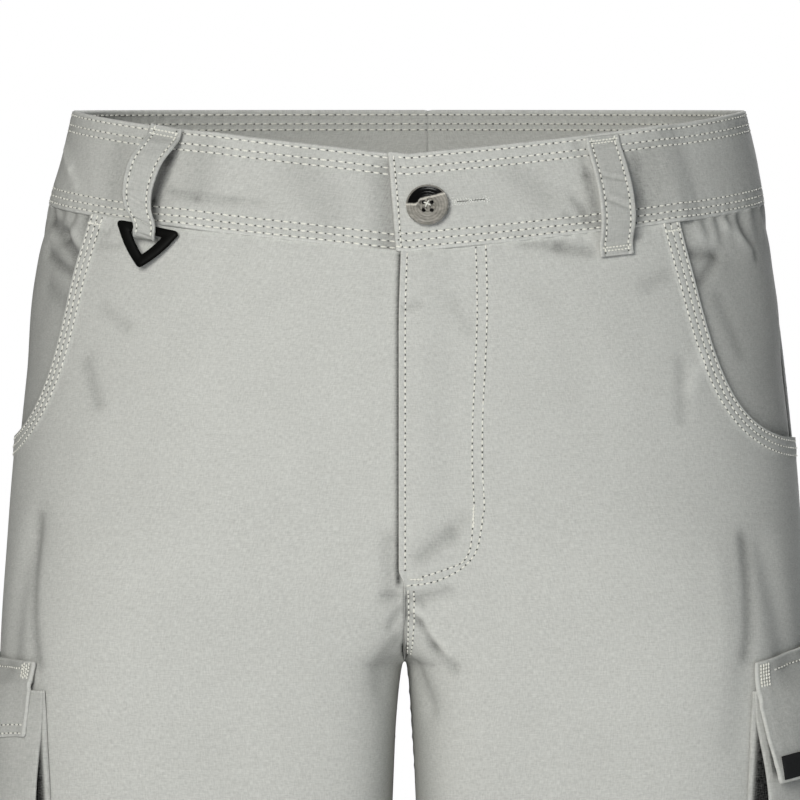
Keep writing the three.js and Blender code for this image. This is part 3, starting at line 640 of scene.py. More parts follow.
def tube(path, radius, sides):
    """Points and faces of a closed round rod along a path."""
    path = np.asarray(path, float)
    tangent = np.gradient(path, axis=0)
    tangent /= np.linalg.norm(tangent, axis=1, keepdims=True)
    helper = np.array([0.0, 0.0, 1.0]) if abs(tangent[0, 2]) < 0.8 else np.array([1.0, 0.0, 0.0])
    across = np.cross(tangent, helper)
    across /= np.linalg.norm(across, axis=1, keepdims=True)
    up = np.cross(across, tangent)
    share = np.linspace(-1, 1, len(path))
    radii = radius * np.sqrt(np.maximum(1 - share ** 8, 0.02))
    turn = np.arange(sides) * 2 * math.pi / sides
    points = path[:, None] + radii[:, None, None] * (
        np.cos(turn)[None, :, None] * across[:, None] + np.sin(turn)[None, :, None] * up[:, None])
    grid = np.arange(len(path) * sides).reshape(len(path), sides)
    around = np.roll(grid, -1, axis=1)
    faces = np.stack([grid[:-1], around[:-1], around[1:], grid[1:]], axis=-1).reshape(-1, 4)
    points = np.concatenate([points.reshape(-1, 3), path[:1], path[-1:]])
    ends = [(len(points) - 2, around[0, k], grid[0, k], grid[0, k]) for k in range(sides)]
    ends += [(len(points) - 1, grid[-1, k], around[-1, k], around[-1, k]) for k in range(sides)]
    return points, faces, np.array(ends)


def spline(points, per_span):
    """A smooth curve through control points of any number of values."""
    points = np.asarray(points, float)
    padded = np.concatenate([2 * points[:1] - points[1:2], points, 2 * points[-1:] - points[-2:-1]])
    out = []
    for k in range(len(points) - 1):
        p0, p1, p2, p3 = padded[k:k + 4]
        for t in np.arange(per_span) / per_span:
            out.append(0.5 * (2 * p1 + (p2 - p0) * t + (2 * p0 - 5 * p1 + 4 * p2 - p3) * t ** 2
                              + (3 * p1 - p0 - 3 * p2 + p3) * t ** 3))
    out.append(points[-1])
    return np.array(out)


def strip(path, thickness):
    """Both faces of a strip whose middle line is this flat path."""
    run = np.gradient(path, axis=0)
    run /= np.linalg.norm(run, axis=1, keepdims=True) + 1e-9
    across = np.stack([-run[:, 1], run[:, 0]], axis=1) * thickness / 2
    return path + across, path - across


def length_of(line):
    return float(np.linalg.norm(np.diff(line, axis=0), axis=1).sum())


def declare_cloth(piece, outer, inner, held, rests_on):
    """Works out the width, length and area of a piece of cloth's cut from its middle surface; nothing further
    is done with them.
    """
    middle = (outer + inner) / 2
    width = max(length_of(row) for row in middle)
    length = max(length_of(middle[:, k]) for k in range(middle.shape[1]))
    a, b, c, d = middle[:-1, :-1], middle[1:, :-1], middle[1:, 1:], middle[:-1, 1:]
    area = np.linalg.norm(np.cross(b - a, c - a), axis=-1) + np.linalg.norm(np.cross(c - a, d - a), axis=-1)
    area = area.sum() / 2
    area = min(float(area), 0.999 * width * length)


def cloth_shell(name, node, faces, material, uv, held, rests_on, slot="twill", **looks):
    """A closed sheet from its two faces, standing for its solid; its cut is worked out but not declared."""
    piece = marked(shell(name, *faces, material, uv, **looks), node)
    declare_cloth(piece, *faces, held, rests_on)


# Materials

def add_node(tree, kind, inputs=None, **settings):
    """A node with these settings; each input is a plain value or another node's output."""
    node = tree.nodes.new(kind)
    for label, value in settings.items():
        setattr(node, label, value)
    for label, value in (inputs or {}).items():
        if isinstance(value, bpy.types.NodeSocket):
            tree.links.new(value, node.inputs[label])
        else:
            node.inputs[label].default_value = value
    return node


def math_of(tree, operation, *values):
    return add_node(tree, "ShaderNodeMath", dict(enumerate(values)), operation=operation).outputs[0]


def weighted(tree, start, *terms):
    """The start plus every value times its weight."""
    for value, weight in terms:
        start = math_of(tree, "MULTIPLY_ADD", value, weight, start)
    return start


def distance_of(tree, first, second):
    squares = [math_of(tree, "MULTIPLY", value, value) for value in (first, second)]
    return math_of(tree, "POWER", math_of(tree, "ADD", *squares), 0.5)


def noise_of(tree, vector, scale, detail=3.0, stretch=(1, 1, 1)):
    mapping = add_node(tree, "ShaderNodeMapping", {"Scale": stretch, "Vector": vector})
    inputs = {"Scale": scale, "Detail": detail, "Vector": mapping.outputs[0]}
    return add_node(tree, "ShaderNodeTexNoise", inputs).outputs["Fac"]


def ranged(tree, value, low, high, to_low, to_high):
    inputs = {"From Min": low, "From Max": high, "To Min": to_low, "To Max": to_high, "Value": value}
    return add_node(tree, "ShaderNodeMapRange", inputs, interpolation_type="SMOOTHSTEP").outputs[0]


def wave_of(tree, vector, scale, direction, distortion=1.5):
    inputs = {"Scale": scale, "Distortion": distortion, "Detail": 1.0, "Detail Scale": 0.3, "Vector": vector}
    return add_node(tree, "ShaderNodeTexWave", inputs, bands_direction=direction).outputs["Fac"]


def toned(tree, colour, tone):
    """A colour times a tone."""
    inputs = {"Factor": 1.0, "A": (*colour, 1), "B": tone}
    return add_node(tree, "ShaderNodeMix", inputs, data_type="RGBA", blend_type="MULTIPLY").outputs["Result"]


def new_material(name, values):
    """A material, its tree and its surface, with these plain values on the surface."""
    material = bpy.data.materials.new(name)
    material.use_nodes = True
    surface = material.node_tree.nodes["Principled BSDF"]
    for label, value in values.items():
        surface.inputs[label].default_value = value
    return material, material.node_tree, surface


def cover(tree, surface, colour, height, strength, distance):
    """Gives the surface its colour and its bumps."""
    bump = add_node(tree, "ShaderNodeBump", {"Strength": strength, "Distance": distance, "Height": height})
    tree.links.new(colour, surface.inputs["Base Color"])
    tree.links.new(bump.outputs["Normal"], surface.inputs["Normal"])


WEAVE_SCALE = 560.0
GRAIN_SCALE = 760.0
PATCH_SCALE = 34.0
THREAD_SCALE = 1250.0
TWIST_SCALE = 900.0
FUZZ_SCALE = 1400.0
PEEL_SCALE = 260.0
RUBBED_SCALE = 90.0
MOTTLE_SCALE = 420.0
TURNED_RINGS = 4700.0


def cloth_material(name, colour, patchiness=0.05):
    """Washed cotton twill: fine warp and weft, slubs, soft patches and paler worn edges, with painted shade
    and painted highlights from the same point attribute as the wear.
    """
    material, tree, surface = new_material(name, {
        "Roughness": 0.88, "Sheen Weight": 0.02, "Sheen Roughness": 0.5, "Specular IOR Level": 0.22})
    vector = add_node(tree, "ShaderNodeUVMap", uv_map="cloth").outputs["UV"]
    # This attribute holds paler worn edges, painted shade in creases and hollows, and painted highlights on
    # ridges
    wear_and_painted_shade = add_node(tree, "ShaderNodeAttribute", attribute_name="wear_and_painted_shade").outputs["Fac"]
    weft = wave_of(tree, vector, WEAVE_SCALE, "Y")
    warp = wave_of(tree, vector, WEAVE_SCALE, "X")
    grain = noise_of(tree, vector, GRAIN_SCALE, 4.0, (1.0, 0.45, 1.0))
    slub = noise_of(tree, vector, GRAIN_SCALE / 2, 3.0, (0.22, 1.5, 1.0))
    patch = noise_of(tree, vector, PATCH_SCALE)
    fine_weft = noise_of(tree, vector, THREAD_SCALE, 2.0, (0.3, 1.3, 1.0))
    fine_warp = noise_of(tree, vector, THREAD_SCALE, 2.0, (1.3, 0.3, 1.0))
    tone = weighted(tree, 0.49 - patchiness, (grain, 0.1), (fine_weft, 0.43), (fine_warp, 0.43), (slub, 0.12),
                    (patch, patchiness * 2), (wear_and_painted_shade, 0.24))
    height = weighted(tree, grain, (weft, 0.5), (warp, 0.5), (slub, 0.5), (fine_weft, 0.9), (fine_warp, 0.9))
    cover(tree, surface, toned(tree, colour, tone), height, 0.38, 0.00022)
    return material


def thread_material(name, colour):
    """Twisted thread with a little fuzz."""
    material, tree, surface = new_material(name, {"Roughness": 0.6, "Sheen Weight": 0.3})
    vector = add_node(tree, "ShaderNodeTexCoord").outputs["Object"]
    twist = wave_of(tree, vector, TWIST_SCALE, "DIAGONAL", 0.6)
    tone = weighted(tree, 0.84, (twist, 0.16), (noise_of(tree, vector, FUZZ_SCALE, 2.0), 0.1))
    cover(tree, surface, toned(tree, colour, tone), twist, 0.4, 0.0001)
    return material


def plastic_material(name, colour, roughness):
    """Moulded plastic with a faint orange-peel surface and rubbed patches."""
    material, tree, surface = new_material(name, {"Specular IOR Level": 0.03, "IOR": 1.3})
    vector = add_node(tree, "ShaderNodeTexCoord").outputs["Object"]
    peel = noise_of(tree, vector, PEEL_SCALE, 2.0)
    rubbed = noise_of(tree, vector, RUBBED_SCALE, 4.0)
    tree.links.new(weighted(tree, roughness - 0.04, (rubbed, 0.12)), surface.inputs["Roughness"])
    cover(tree, surface, toned(tree, colour, weighted(tree, 0.6, (rubbed, 0.8))), peel, 0.12, 0.0002)
    return material


def horn_material(name, centre, light, painted_dark):
    """Horn-like polyester: turned rings and mottling, with a painted dark reflection over one side that fades
    over the rim, a painted highlight line under it, and painted shade in the four holes.
    """
    material, tree, surface = new_material(name, {
        "Roughness": 0.24, "Coat Weight": 0.05, "Coat Roughness": 0.08, "Specular IOR Level": 0.16})
    vector = add_node(tree, "ShaderNodeTexCoord").outputs["Object"]
    to_centre = {"Location": tuple(-value for value in centre), "Vector": vector}
    mapping = add_node(tree, "ShaderNodeMapping", to_centre)
    separate = add_node(tree, "ShaderNodeSeparateXYZ", {0: mapping.outputs[0]})
    across, up = separate.outputs["X"], separate.outputs["Z"]
    mottle = noise_of(tree, vector, MOTTLE_SCALE, 5.0, (1.0, 1.0, 2.2))
    radius = distance_of(tree, across, up)
    rings = math_of(tree, "SINE", math_of(tree, "MULTIPLY", radius, TURNED_RINGS))
    # The painted dark reflection's lower border: low at the left, a step beside the middle, then rising to the
    # right
    border = ranged(tree, across, -0.0056, -0.0032, 0.0009, 0.0033)
    rising = math_of(tree, "MAXIMUM", math_of(tree, "ADD", across, 0.0034), 0.0)
    border = weighted(tree, border, (rising, 0.24), (mottle, 0.0005))
    above = math_of(tree, "SUBTRACT", up, border)
    share = ranged(tree, above, 0.0, 0.0005, 0.0, 1.0)
    outside = ranged(tree, radius, 0.0040, 0.0047, 0.0, 1.0)
    rim = ranged(tree, radius, 0.0092, 0.0096, 1.0, 0.25)
    painted_dark_share = math_of(tree, "MULTIPLY", math_of(tree, "MULTIPLY", share, outside), rim)
    # The four holes, folded onto one, get painted shade
    folded = [math_of(tree, "SUBTRACT", math_of(tree, "ABSOLUTE", value), BUTTON_PITCH * MM)
              for value in (across, up)]
    hole = ranged(tree, distance_of(tree, *folded), 0.0008, 0.0011, 1.0, 0.0)
    painted_dark_share = math_of(tree, "MAXIMUM", painted_dark_share, hole)
    # A painted highlight line just under the painted reflection's border
    painted_gleam = math_of(tree, "MULTIPLY", ranged(tree, above, -0.0011, -0.0005, 0.0, 1.0),
                    ranged(tree, above, -0.0004, 0.0001, 1.0, 0.0))
    tone = weighted(tree, 0.36, (mottle, 1.1), (rings, 0.12), (painted_gleam, 1.1))
    inputs = {"Factor": painted_dark_share, "A": toned(tree, light, tone), "B": (*painted_dark, 1)}
    mix = add_node(tree, "ShaderNodeMix", inputs, data_type="RGBA")
    cover(tree, surface, mix.outputs["Result"], rings, 0.3, 0.0001)
    return material


def floor_material(name):
    material, tree, surface = new_material(name, {"Roughness": 0.7})
    vector = add_node(tree, "ShaderNodeTexCoord").outputs["Object"]
    tone = weighted(tree, 0.8, (noise_of(tree, vector, 3.0, 4.0), 0.03))
    tree.links.new(tone, surface.inputs["Base Color"])
    return material


# Stitching: sizes in metres, and lifts of the threads off the cloth in millimetres

LOOP_PITCH = 0.0028
LAP_PITCH = 0.0027
BAND_PITCH = {1: 0.0035, -1: 0.00415}
TACK_PITCH = 0.0016
THREAD_HEIGHT = 0.00075
THREAD_LIFT = 0.12
FLY_THREAD_LIFT = 0.15
LOOP_THREAD_LIFT = 0.16
TACK_LIFT = 0.25
FLY_TACK_LEVEL = -198.2


def stitch_tree():
    """Geometry Nodes: threads laid end to end along paths, or dark needle-hole marks between them as painted
    shade.
    """
    tree = bpy.data.node_groups.new("Stitches along paths", "GeometryNodeTree")
    for label, kind in (("Geometry", "Geometry"), ("Pitch", "Float"), ("Length", "Float"), ("Width", "Float"),
                        ("Height", "Float"), ("Between", "Bool"), ("Sides", "Int"), ("Rings", "Int"),
                        ("Finish", "Material")):
        tree.interface.new_socket(label, in_out="INPUT", socket_type="NodeSocket" + kind)
    tree.interface.new_socket("Geometry", in_out="OUTPUT", socket_type="NodeSocketGeometry")
    given = add_node(tree, "NodeGroupInput").outputs
    paths = add_node(tree, "GeometryNodeMeshToCurve", {0: given["Geometry"]})
    half = math_of(tree, "MULTIPLY", given["Pitch"], 0.5)
    steps = {"Curve": paths.outputs[0], "Length": half}
    points = add_node(tree, "GeometryNodeResampleCurve", steps, mode="LENGTH")
    parity = math_of(tree, "MODULO", add_node(tree, "GeometryNodeInputIndex").outputs[0], 2)
    chosen = add_node(tree, "FunctionNodeCompare", {"Epsilon": 0.1, "A": parity, "B": given["Between"]},
                      data_type="FLOAT", operation="EQUAL")
    lie = add_node(tree, "GeometryNodeInputNamedAttribute", {"Name": "lie"}, data_type="FLOAT_VECTOR")
    tangent = add_node(tree, "GeometryNodeInputTangent")
    directions = {"Primary Axis": lie.outputs["Attribute"], "Secondary Axis": tangent.outputs[0]}
    turned = add_node(tree, "FunctionNodeAxesToRotation", directions, primary_axis="Z", secondary_axis="X")
    sphere = add_node(tree, "GeometryNodeMeshUVSphere",
                      {"Radius": 0.5, "Segments": given["Sides"], "Rings": given["Rings"]})
    size = add_node(tree, "ShaderNodeCombineXYZ",
                    {"X": given["Height"], "Y": given["Width"], "Z": given["Length"]})
    shape = add_node(tree, "GeometryNodeTransform", {
        "Rotation": (0, math.pi / 2, 0), "Geometry": sphere.outputs["Mesh"], "Scale": size.outputs[0]})
    random = add_node(tree, "FunctionNodeRandomValue", data_type="FLOAT_VECTOR", inputs={
        "Min": (0.88, 0.85, 0.85), "Max": (1.08, 1.15, 1.15), "Seed": 7})
    place = add_node(tree, "GeometryNodeInstanceOnPoints", {
        "Points": points.outputs[0], "Selection": chosen.outputs["Result"], "Instance": shape.outputs[0],
        "Rotation": turned.outputs[0], "Scale": random.outputs["Value"]})
    realize = add_node(tree, "GeometryNodeRealizeInstances", {0: place.outputs[0]})
    soft = add_node(tree, "GeometryNodeSetShadeSmooth", {"Geometry": realize.outputs[0]})
    finished = add_node(tree, "GeometryNodeSetMaterial",
                        {"Geometry": soft.outputs[0], "Material": given["Finish"]})
    add_node(tree, "NodeGroupOutput", {0: finished.outputs[0]})
    return tree


def stitched(name, rows, values):
    """Runs the tree on rows of (points, directions out of the cloth) and keeps the plain mesh."""
    points = np.concatenate([row[0] for row in rows])
    lie = np.concatenate([row[1] for row in rows])
    edges, start = [], 0
    for row_points, _ in rows:
        count = len(row_points)
        edges += [(start + k, start + k + 1) for k in range(count - 1)]
        start += count
    mesh = bpy.data.meshes.new(name + "_paths")
    mesh.from_pydata([tuple(point) for point in points * MM], edges, [])
    attribute = mesh.attributes.new("lie", "FLOAT_VECTOR", "POINT")
    attribute.data.foreach_set("vector", np.asarray(lie, np.float32).ravel())
    paths = linked_object(name + "_paths", mesh)
    modifier = paths.modifiers.new("Stitches", "NODES")
    modifier.node_group = finish("tree")
    for item in modifier.node_group.interface.items_tree:
        if item.in_out == "INPUT" and item.name in values:
            modifier[item.identifier] = values[item.name]
    bpy.context.view_layer.update()
    evaluated = paths.evaluated_get(bpy.context.evaluated_depsgraph_get())
    made = bpy.data.meshes.new_from_object(evaluated)
    paths.modifiers.clear()
    bpy.data.objects.remove(paths)
    if len(made.polygons) == 0:
        raise RuntimeError(f"{name} made no stitches")
    marked(linked_object(name, made))


def row_on(side, level, girth, offset):
    """A stitch row on the cloth: its points and the directions out of it."""
    level, girth = np.broadcast_arrays(np.asarray(level, float), np.asarray(girth, float))
    return at(side, level, girth, offset), cloth_normals(side, level, girth)


def panel_row(side, level, girth, offset_of, lift=THREAD_LIFT):
    """A stitch row lying on the panel whose face this offset gives."""
    return row_on(side, level, girth, offset_of(side, level, girth) + lift)


def spaced(start, end, step=2.0):
    return np.linspace(start, end, max(2, int(abs(end - start) / step) + 1))


# Pieces

def columns_between(first, last, step, fine):
    """Distances from first to last, fine steps first."""
    rest = np.arange(fine[-1] + step, last - step / 2, step)
    return np.concatenate([np.asarray(fine, float) + first, rest, [last]])


# Distances of the finer columns from the centre, the front pocket's edge and a seam
CENTRE_FINE = (0, 0.8, 1.6, 2.2, 2.8, 3.4, 4.2, 5.4, 7)
POCKET_FINE = (0, 0.7, 1.4, 2.1, 3.0, 4.0, 4.9, 5.6, 6.6, 7.6, 8.5, 8.9, 9.3, 9.8, 10.4, 11.6, 13.2)
SEAM_FINE = (0, 0.8, 1.6, 2.6, 4.0, 6.0)
LOWER_COARSE = 3
BACK_COARSE = 1.7
# Columns of the tuck beside the fly, then of the inner part, then of the outer part
TUCK_COLUMNS = 10
TUCK_X = 1.2
COLUMN_SPLIT_X = 45.0
INNER_SHARE = 1 / 3
INNER_SPAN = 46.0
OUTER_SPAN = 190.0


def column_shares(step, side_fine):
    """For each column: which part it is in, its share of that part, and its share of the whole panel."""
    inner = columns_between(0, INNER_SPAN, step, CENTRE_FINE) / INNER_SPAN
    outer = 1 - columns_between(0, OUTER_SPAN, step, side_fine)[::-1] / OUTER_SPAN
    tuck = np.linspace(0, 1, TUCK_COLUMNS, endpoint=False)
    part = np.concatenate([np.full(TUCK_COLUMNS, -1), np.zeros(len(inner)), np.ones(len(outer) - 1)])
    share = np.concatenate([tuck, inner, outer[1:]])
    whole = np.where(part == 0, share * INNER_SHARE, INNER_SHARE + share * (1 - INNER_SHARE))
    return part, share, np.where(part < 0, 0, whole)


def panel_girths(level, centre_edge, side_edge, part, share, toward):
    split = each(lambda value: ring_near(value).where(COLUMN_SPLIT_X, toward), level)
    inner = each(lambda value: ring_near(value).where(TUCK_X + max(-ring_near(value).reach, 0), toward), level)
    near = np.where(part < 0, lerp(centre_edge, inner, share), lerp(inner, split, share))
    return np.where(part < 1, near, lerp(split, side_edge, share))


def levels_below(start, step, coarse):
    """Levels from start down to the hem; the ring at the crotch is kept."""
    upper = np.arange(start, LOWER_LEG, -step)
    lower = np.linspace(LOWER_LEG, HEM_TOP, int((LOWER_LEG - HEM_TOP) / coarse) + 2)
    hem = [HEM_TOP - 0.6, HEM_TOP - 6, HEM_LEVEL + 14, HEM_LEVEL + 7, HEM_LEVEL + 2, HEM_LEVEL]
    every = np.concatenate([upper[np.abs(upper - CROTCH_LEVEL) > 1.2],
                            [-237.9, -238.8, CROTCH_LEVEL, -240.2], lower, hem])
    return np.unique(np.round(every, 3))[::-1]


@lru_cache(maxsize=2)
def pocket_curve():
    turn = np.linspace(0, math.pi / 2, 401)
    curve = np.stack([POCKET_WIDTH * np.abs(np.cos(turn)) ** (2 / POCKET_CORNER),
                      POCKET_DEPTH * np.abs(np.sin(turn)) ** (2 / POCKET_CORNER)], axis=1)
    lengths = np.concatenate([[0], np.cumsum(np.linalg.norm(np.diff(curve, axis=0), axis=1))])
    return curve, lengths


def pocket_edge(share):
    curve, lengths = pocket_curve()
    wanted = share * lengths[-1]
    return np.interp(wanted, lengths, curve[:, 0]), np.interp(wanted, lengths, curve[:, 1])


def hem_step(level):
    """The cloth's thickness, doubled in the hem."""
    return np.where(level < HEM_TOP - 0.5, HEM_CLOTH, CLOTH)


def front_places(side, sizes):
    """Levels and girths of the front panel's grid."""
    step = sizes.cloth_step / MM
    shares = np.linspace(0, 1, int(POCKET_DEPTH / step) + 1)
    across, down = pocket_edge(shares)
    side_level = PANEL_TOP - down
    side_girth = side_seam(side, side_level) - across - SEAM_GAP / 2
    centre = PANEL_TOP - POCKET_DEPTH * shares
    below = levels_below(PANEL_TOP - POCKET_DEPTH - step, step, step * LOWER_COARSE)
    centre = np.concatenate([centre, below])
    side_level = np.concatenate([side_level, below])
    side_girth = np.concatenate([side_girth, side_seam(side, below) - SEAM_GAP / 2])
    part, share, whole = column_shares(step, POCKET_FINE)
    level = lerp(centre[:, None], side_level[:, None], whole[None, :])
    girth = panel_girths(level, front_centre_edge(side, level), side_girth[:, None], part, share, -1)
    return level, girth


def back_places(side, sizes):
    """Levels and girths of the back panel's grid."""
    step = sizes.cloth_step / MM * BACK_COARSE
    levels = levels_below(PANEL_TOP, step, step * 2)
    part, share, _ = column_shares(step, SEAM_FINE)
    level = np.repeat(levels[:, None], len(share), axis=1)
    seam = side_seam(side, levels)[:, None] + SEAM_GAP / 2
    girth = panel_girths(level, back_centre_edge(side, levels)[:, None], seam, part, share, 1)
    return level, girth


def back_offset(side, level, girth):
    """How far the back panel's face stands off the cloth: grooves and puckers beside its seams."""
    seam = girth - side_seam(side, level)
    centre = back_centre_edge(side, level) - girth
    lift = groove(seam - 2.2) + groove(centre - 2.2) + groove(centre - 7)
    low = 1 - smooth(-170, -150, level)
    lift = lift + ripple(level, seam, wave=8, width=7, depth=0.25) * low
    lift = lift + ripple(level, centre, wave=8, width=8, depth=0.25)
    return lift + ripple(girth, PANEL_TOP - level, wave=9, width=7, depth=0.25)


def cloth_piece(name, node, side, places, offset, thickness, material, rests_on=(), held="hung", shade=0):
    """A sheet at these levels and girths of the cloth's surface, this far out from it, with painted shade in
    its narrow creases and wherever shade is given.
    """
    level, girth = places
    faces = at(side, level, girth, offset), at(side, level, girth, offset - thickness)
    # Painted shade in narrow creases, painted highlight on narrow ridges
    shade = troughs(CREASES, side, level, girth, SHADED_WIDTH) + shade
    cloth_shell(name, node, faces, material, np.stack([girth, level], axis=-1), held, rests_on, shade=shade)


# Levels of the band's rows, closer beside the stitching
BAND_LEVELS = (
    22, 21.2, 20.6, 20, 19, 17.6, 16.7, 16.1, 15.5, 14.4, 13.7, 13.1, 12.5, 11, 9, 6.5, 4, 1.5, -1.5, -4, -6.5,
    -9, -11.5, -13, -13.7, -14.3, -15, -16.2, -17, -17.6, -18.2, -19.4, -20, -20.6, -21.2, -21.85,
)
BAND_SPAN = 430.0
BAND_STEP = 1.8


def band_places(side):
    """Levels and girths of the band's grid."""
    rise = np.array(BAND_LEVELS)
    share = (BAND_TOP - rise) / (BAND_TOP - BAND_FOOT - SEAM_GAP / 2)
    lap = lerp(BAND_LAP_TOP, BAND_LAP, share)
    start = front_end(rise) - (lap if side > 0 else BAND_UNDER)
    end = back_end(rise) - side * BACK_SEAM_X - SEAM_GAP / 2
    fine = columns_between(0, BAND_SPAN, BAND_STEP, CENTRE_FINE) / BAND_SPAN
    level = np.repeat(rise[:, None], len(fine), axis=1)
    return level, lerp(start[:, None], end[:, None], fine[None, :])


def band_offset(side, level, girth):
    """How far the waistband's face stands off the cloth: its lap, stitching, waves and turned sides."""
    near = 1 - smooth(10, 48, girth - front_end(level))
    lift = BAND_PROUD + (1.5 if side > 0 else -1.7) * near
    for row in BAND_ROWS:
        lift = lift + groove(level - row, depth=0.26, width=0.7)
    lift = lift + ripple(girth, level - 17, wave=7.5, width=7, depth=0.14)
    lift = lift + ripple(girth + 3, level + 17.5, wave=8.5, width=7, depth=0.2)
    middle = 0.5 * np.exp(-((level / 11) ** 2)) * np.sin(girth / 19 + side)
    crest, far = BAND_TURN[side]
    turn = BAND_TURN_OUT * np.exp(-(((girth - crest) / 13) ** 2)) * (girth < crest)
    beyond = smooth(crest, crest + far, girth)
    turn = turn + (girth >= crest) * (BAND_TURN_OUT + BAND_TURN_IN) * (1 - beyond)
    turn = turn - (girth >= crest) * BAND_TURN_IN * (1 - smooth(crest + far, -8, girth))
    return lift + middle + turn * (girth < 0)


def loop_girth(end, share, level):
    """The girth of a belt loop's middle, as a share of the way to the front or back centre."""
    return share * (front_end(level) if end == "front" else back_end(level))


def loop_surface(side, end, share, across, level, offset):
    return at(side, level, loop_girth(end, share, level) + across, offset)


def loop_normals(side, end, share, level):
    return cloth_normals(side, level, loop_girth(end, share, level))


def basis_at(side, level, girth, offset):
    """A flat frame on the cloth: its place, then across, up and out."""
    out = cloth_normals(side, np.array([level]), np.array([girth]))[0]
    place = cloth_points(side, np.array([level]), np.array([girth]))[0]
    ends = cloth_points(side, np.array([level - 1.0, level + 1.0]), np.array([girth, girth]))
    up = (ends[1] - ends[0]) / np.linalg.norm(ends[1] - ends[0])
    across = np.cross(up, out)
    across /= np.linalg.norm(across)
    return place + out * offset, np.stack([across, np.cross(out, across), out], axis=1)


def ring_basis(side):
    """The hook ring's frame: the middle of its top bar, turned as it hangs."""
    origin, basis = basis_at(side, RING_LEVEL, RING_GIRTH, RING_OFFSET)
    yaw = -side * RING_YAW
    turn_y = np.array([[math.cos(yaw), 0, math.sin(yaw)], [0, 1, 0], [-math.sin(yaw), 0, math.cos(yaw)]])
    turn_z = np.array([[math.cos(RING_TURN), -math.sin(RING_TURN), 0],
                       [math.sin(RING_TURN), math.cos(RING_TURN), 0], [0, 0, 1]])
    return origin, basis @ turn_y @ turn_z


def in_basis(frame_at, points):
    """Points of a flat frame, placed in the part."""
    origin, basis = frame_at
    return origin + np.asarray(points) @ basis.T


CORNER_STEPS = 8


def triangle_outline(half_width, top, foot, radius, swell):
    """A rounded triangle with its flat side up and swelling sides, as a closed outline."""
    corners = np.array([(-half_width, top), (0, foot), (half_width, top)], float)
    outline = []

    def bend(start, middle, end, count):
        t = np.linspace(0, 1, count, endpoint=False)[:, None]
        return (1 - t) ** 2 * start + 2 * t * (1 - t) * middle + t ** 2 * end

    ends = []
    for k, corner in enumerate(corners):
        before = corners[(k + 2) % 3] - corner
        after = corners[(k + 1) % 3] - corner
        before, after = before / np.linalg.norm(before), after / np.linalg.norm(after)
        cut = radius / math.tan(math.acos(float(before @ after)) / 2)
        ends.append((corner + before * cut, corner, corner + after * cut))
    for k, (enter, corner, leave) in enumerate(ends):
        outline.append(bend(enter, corner, leave, CORNER_STEPS))
        following = ends[(k + 1) % 3][0]
        run = following - leave
        bulge = np.array([-run[1], run[0]]) / np.linalg.norm(run) * -(swell if k < 2 else 0)
        outline.append(bend(leave, leave + run / 2 + bulge, following, CORNER_STEPS * 2))
    return np.concatenate(outline)


def section_ring(outer, inner, half_thick, bevel):
    """A flat ring with bevelled edges from its matched outer and inner outlines."""
    toward = inner - outer
    toward /= np.linalg.norm(toward, axis=1, keepdims=True)
    stations = []
    for flat, height in ((outer, -half_thick + bevel), (outer, half_thick - bevel),
                         (outer + toward * bevel * 0.3, half_thick - bevel * 0.3),
                         (outer + toward * bevel, half_thick), (inner - toward * bevel, half_thick),
                         (inner - toward * bevel * 0.3, half_thick - bevel * 0.3),
                         (inner, half_thick - bevel), (inner, -half_thick + bevel),
                         (inner - toward * bevel, -half_thick), (outer + toward * bevel, -half_thick)):
        stations.append(np.column_stack([flat, np.full(len(flat), height)]))
    points = np.stack(stations, axis=1)
    count, around = points.shape[:2]
    grid = np.arange(count * around).reshape(count, around)
    following, beside = np.roll(grid, -1, axis=0), np.roll(grid, -1, axis=1)
    both = np.roll(following, -1, axis=1)
    faces = np.stack([grid, following, both, beside], axis=-1).reshape(-1, 4)
    return points.reshape(-1, 3), faces


def cargo_stand_off(level):
    stand = lerp(CARGO_STAND_OFF, CARGO_STAND_OFF_TOP, smooth(-320, -262, level))
    return lerp(stand, 3.4, smooth(-264, CARGO_TOP, level))


def cargo_edge(side, level):
    """How far the pocket's front edge stands off the leg."""
    return lerp(CARGO_EDGE[side], 2.6, smooth(-312, CARGO_TOP - 4, level))


def cargo_section(side, level, fold_in):
    """The bellows pocket's outline at one level: a lip, a tucked gusset, then the face, as a smooth path."""
    seam = float(side_seam(side, level))
    front, back = CARGO_FRONT + seam + CARGO_SHIFT[side], CARGO_BACK + seam
    stand, edge = float(cargo_stand_off(level)), float(cargo_edge(side, level))
    lip = 0.9 + 0.35 * min(edge - 0.9, 3.4)
    inner = max(edge - 1.5, lip + 0.4)
    opened = CARGO_OPEN[side] * float(smooth(CARGO_TOP - 2, CARGO_TOP - 52, level)) ** 0.7
    fold = front + 1 + fold_in
    path = [(front - 0.5, 0.9), (front - 0.1, lip - 0.15), (front + 2, lip), (fold, lip + 0.2),
            (fold + 0.9, (lip + inner) / 2), (fold, inner - 0.1), (front + opened + 2, inner),
            (front + opened + 0.1, (inner + edge) / 2), (front + opened + 1.2, edge),
            (front + 10, lerp(edge, stand, 0.35)), (front + 22, lerp(edge, stand, 0.85))]
    for share in (0.26, 0.4, 0.54, 0.68, 0.84):
        path.append((lerp(front, back, share), stand + 1.5 * math.sin(math.pi * share)))
    path += [(back - 7, stand), (back - 1, stand - 2), (back - 0.5 - fold_in, stand * 0.46), (back, 0.9)]
    return spline(path, 6)


def stand_at(section, level):
    """How far out a section of (level, distance) rows is at these levels."""
    return np.interp(-level, [-row[0] for row in section], [row[1] for row in section])


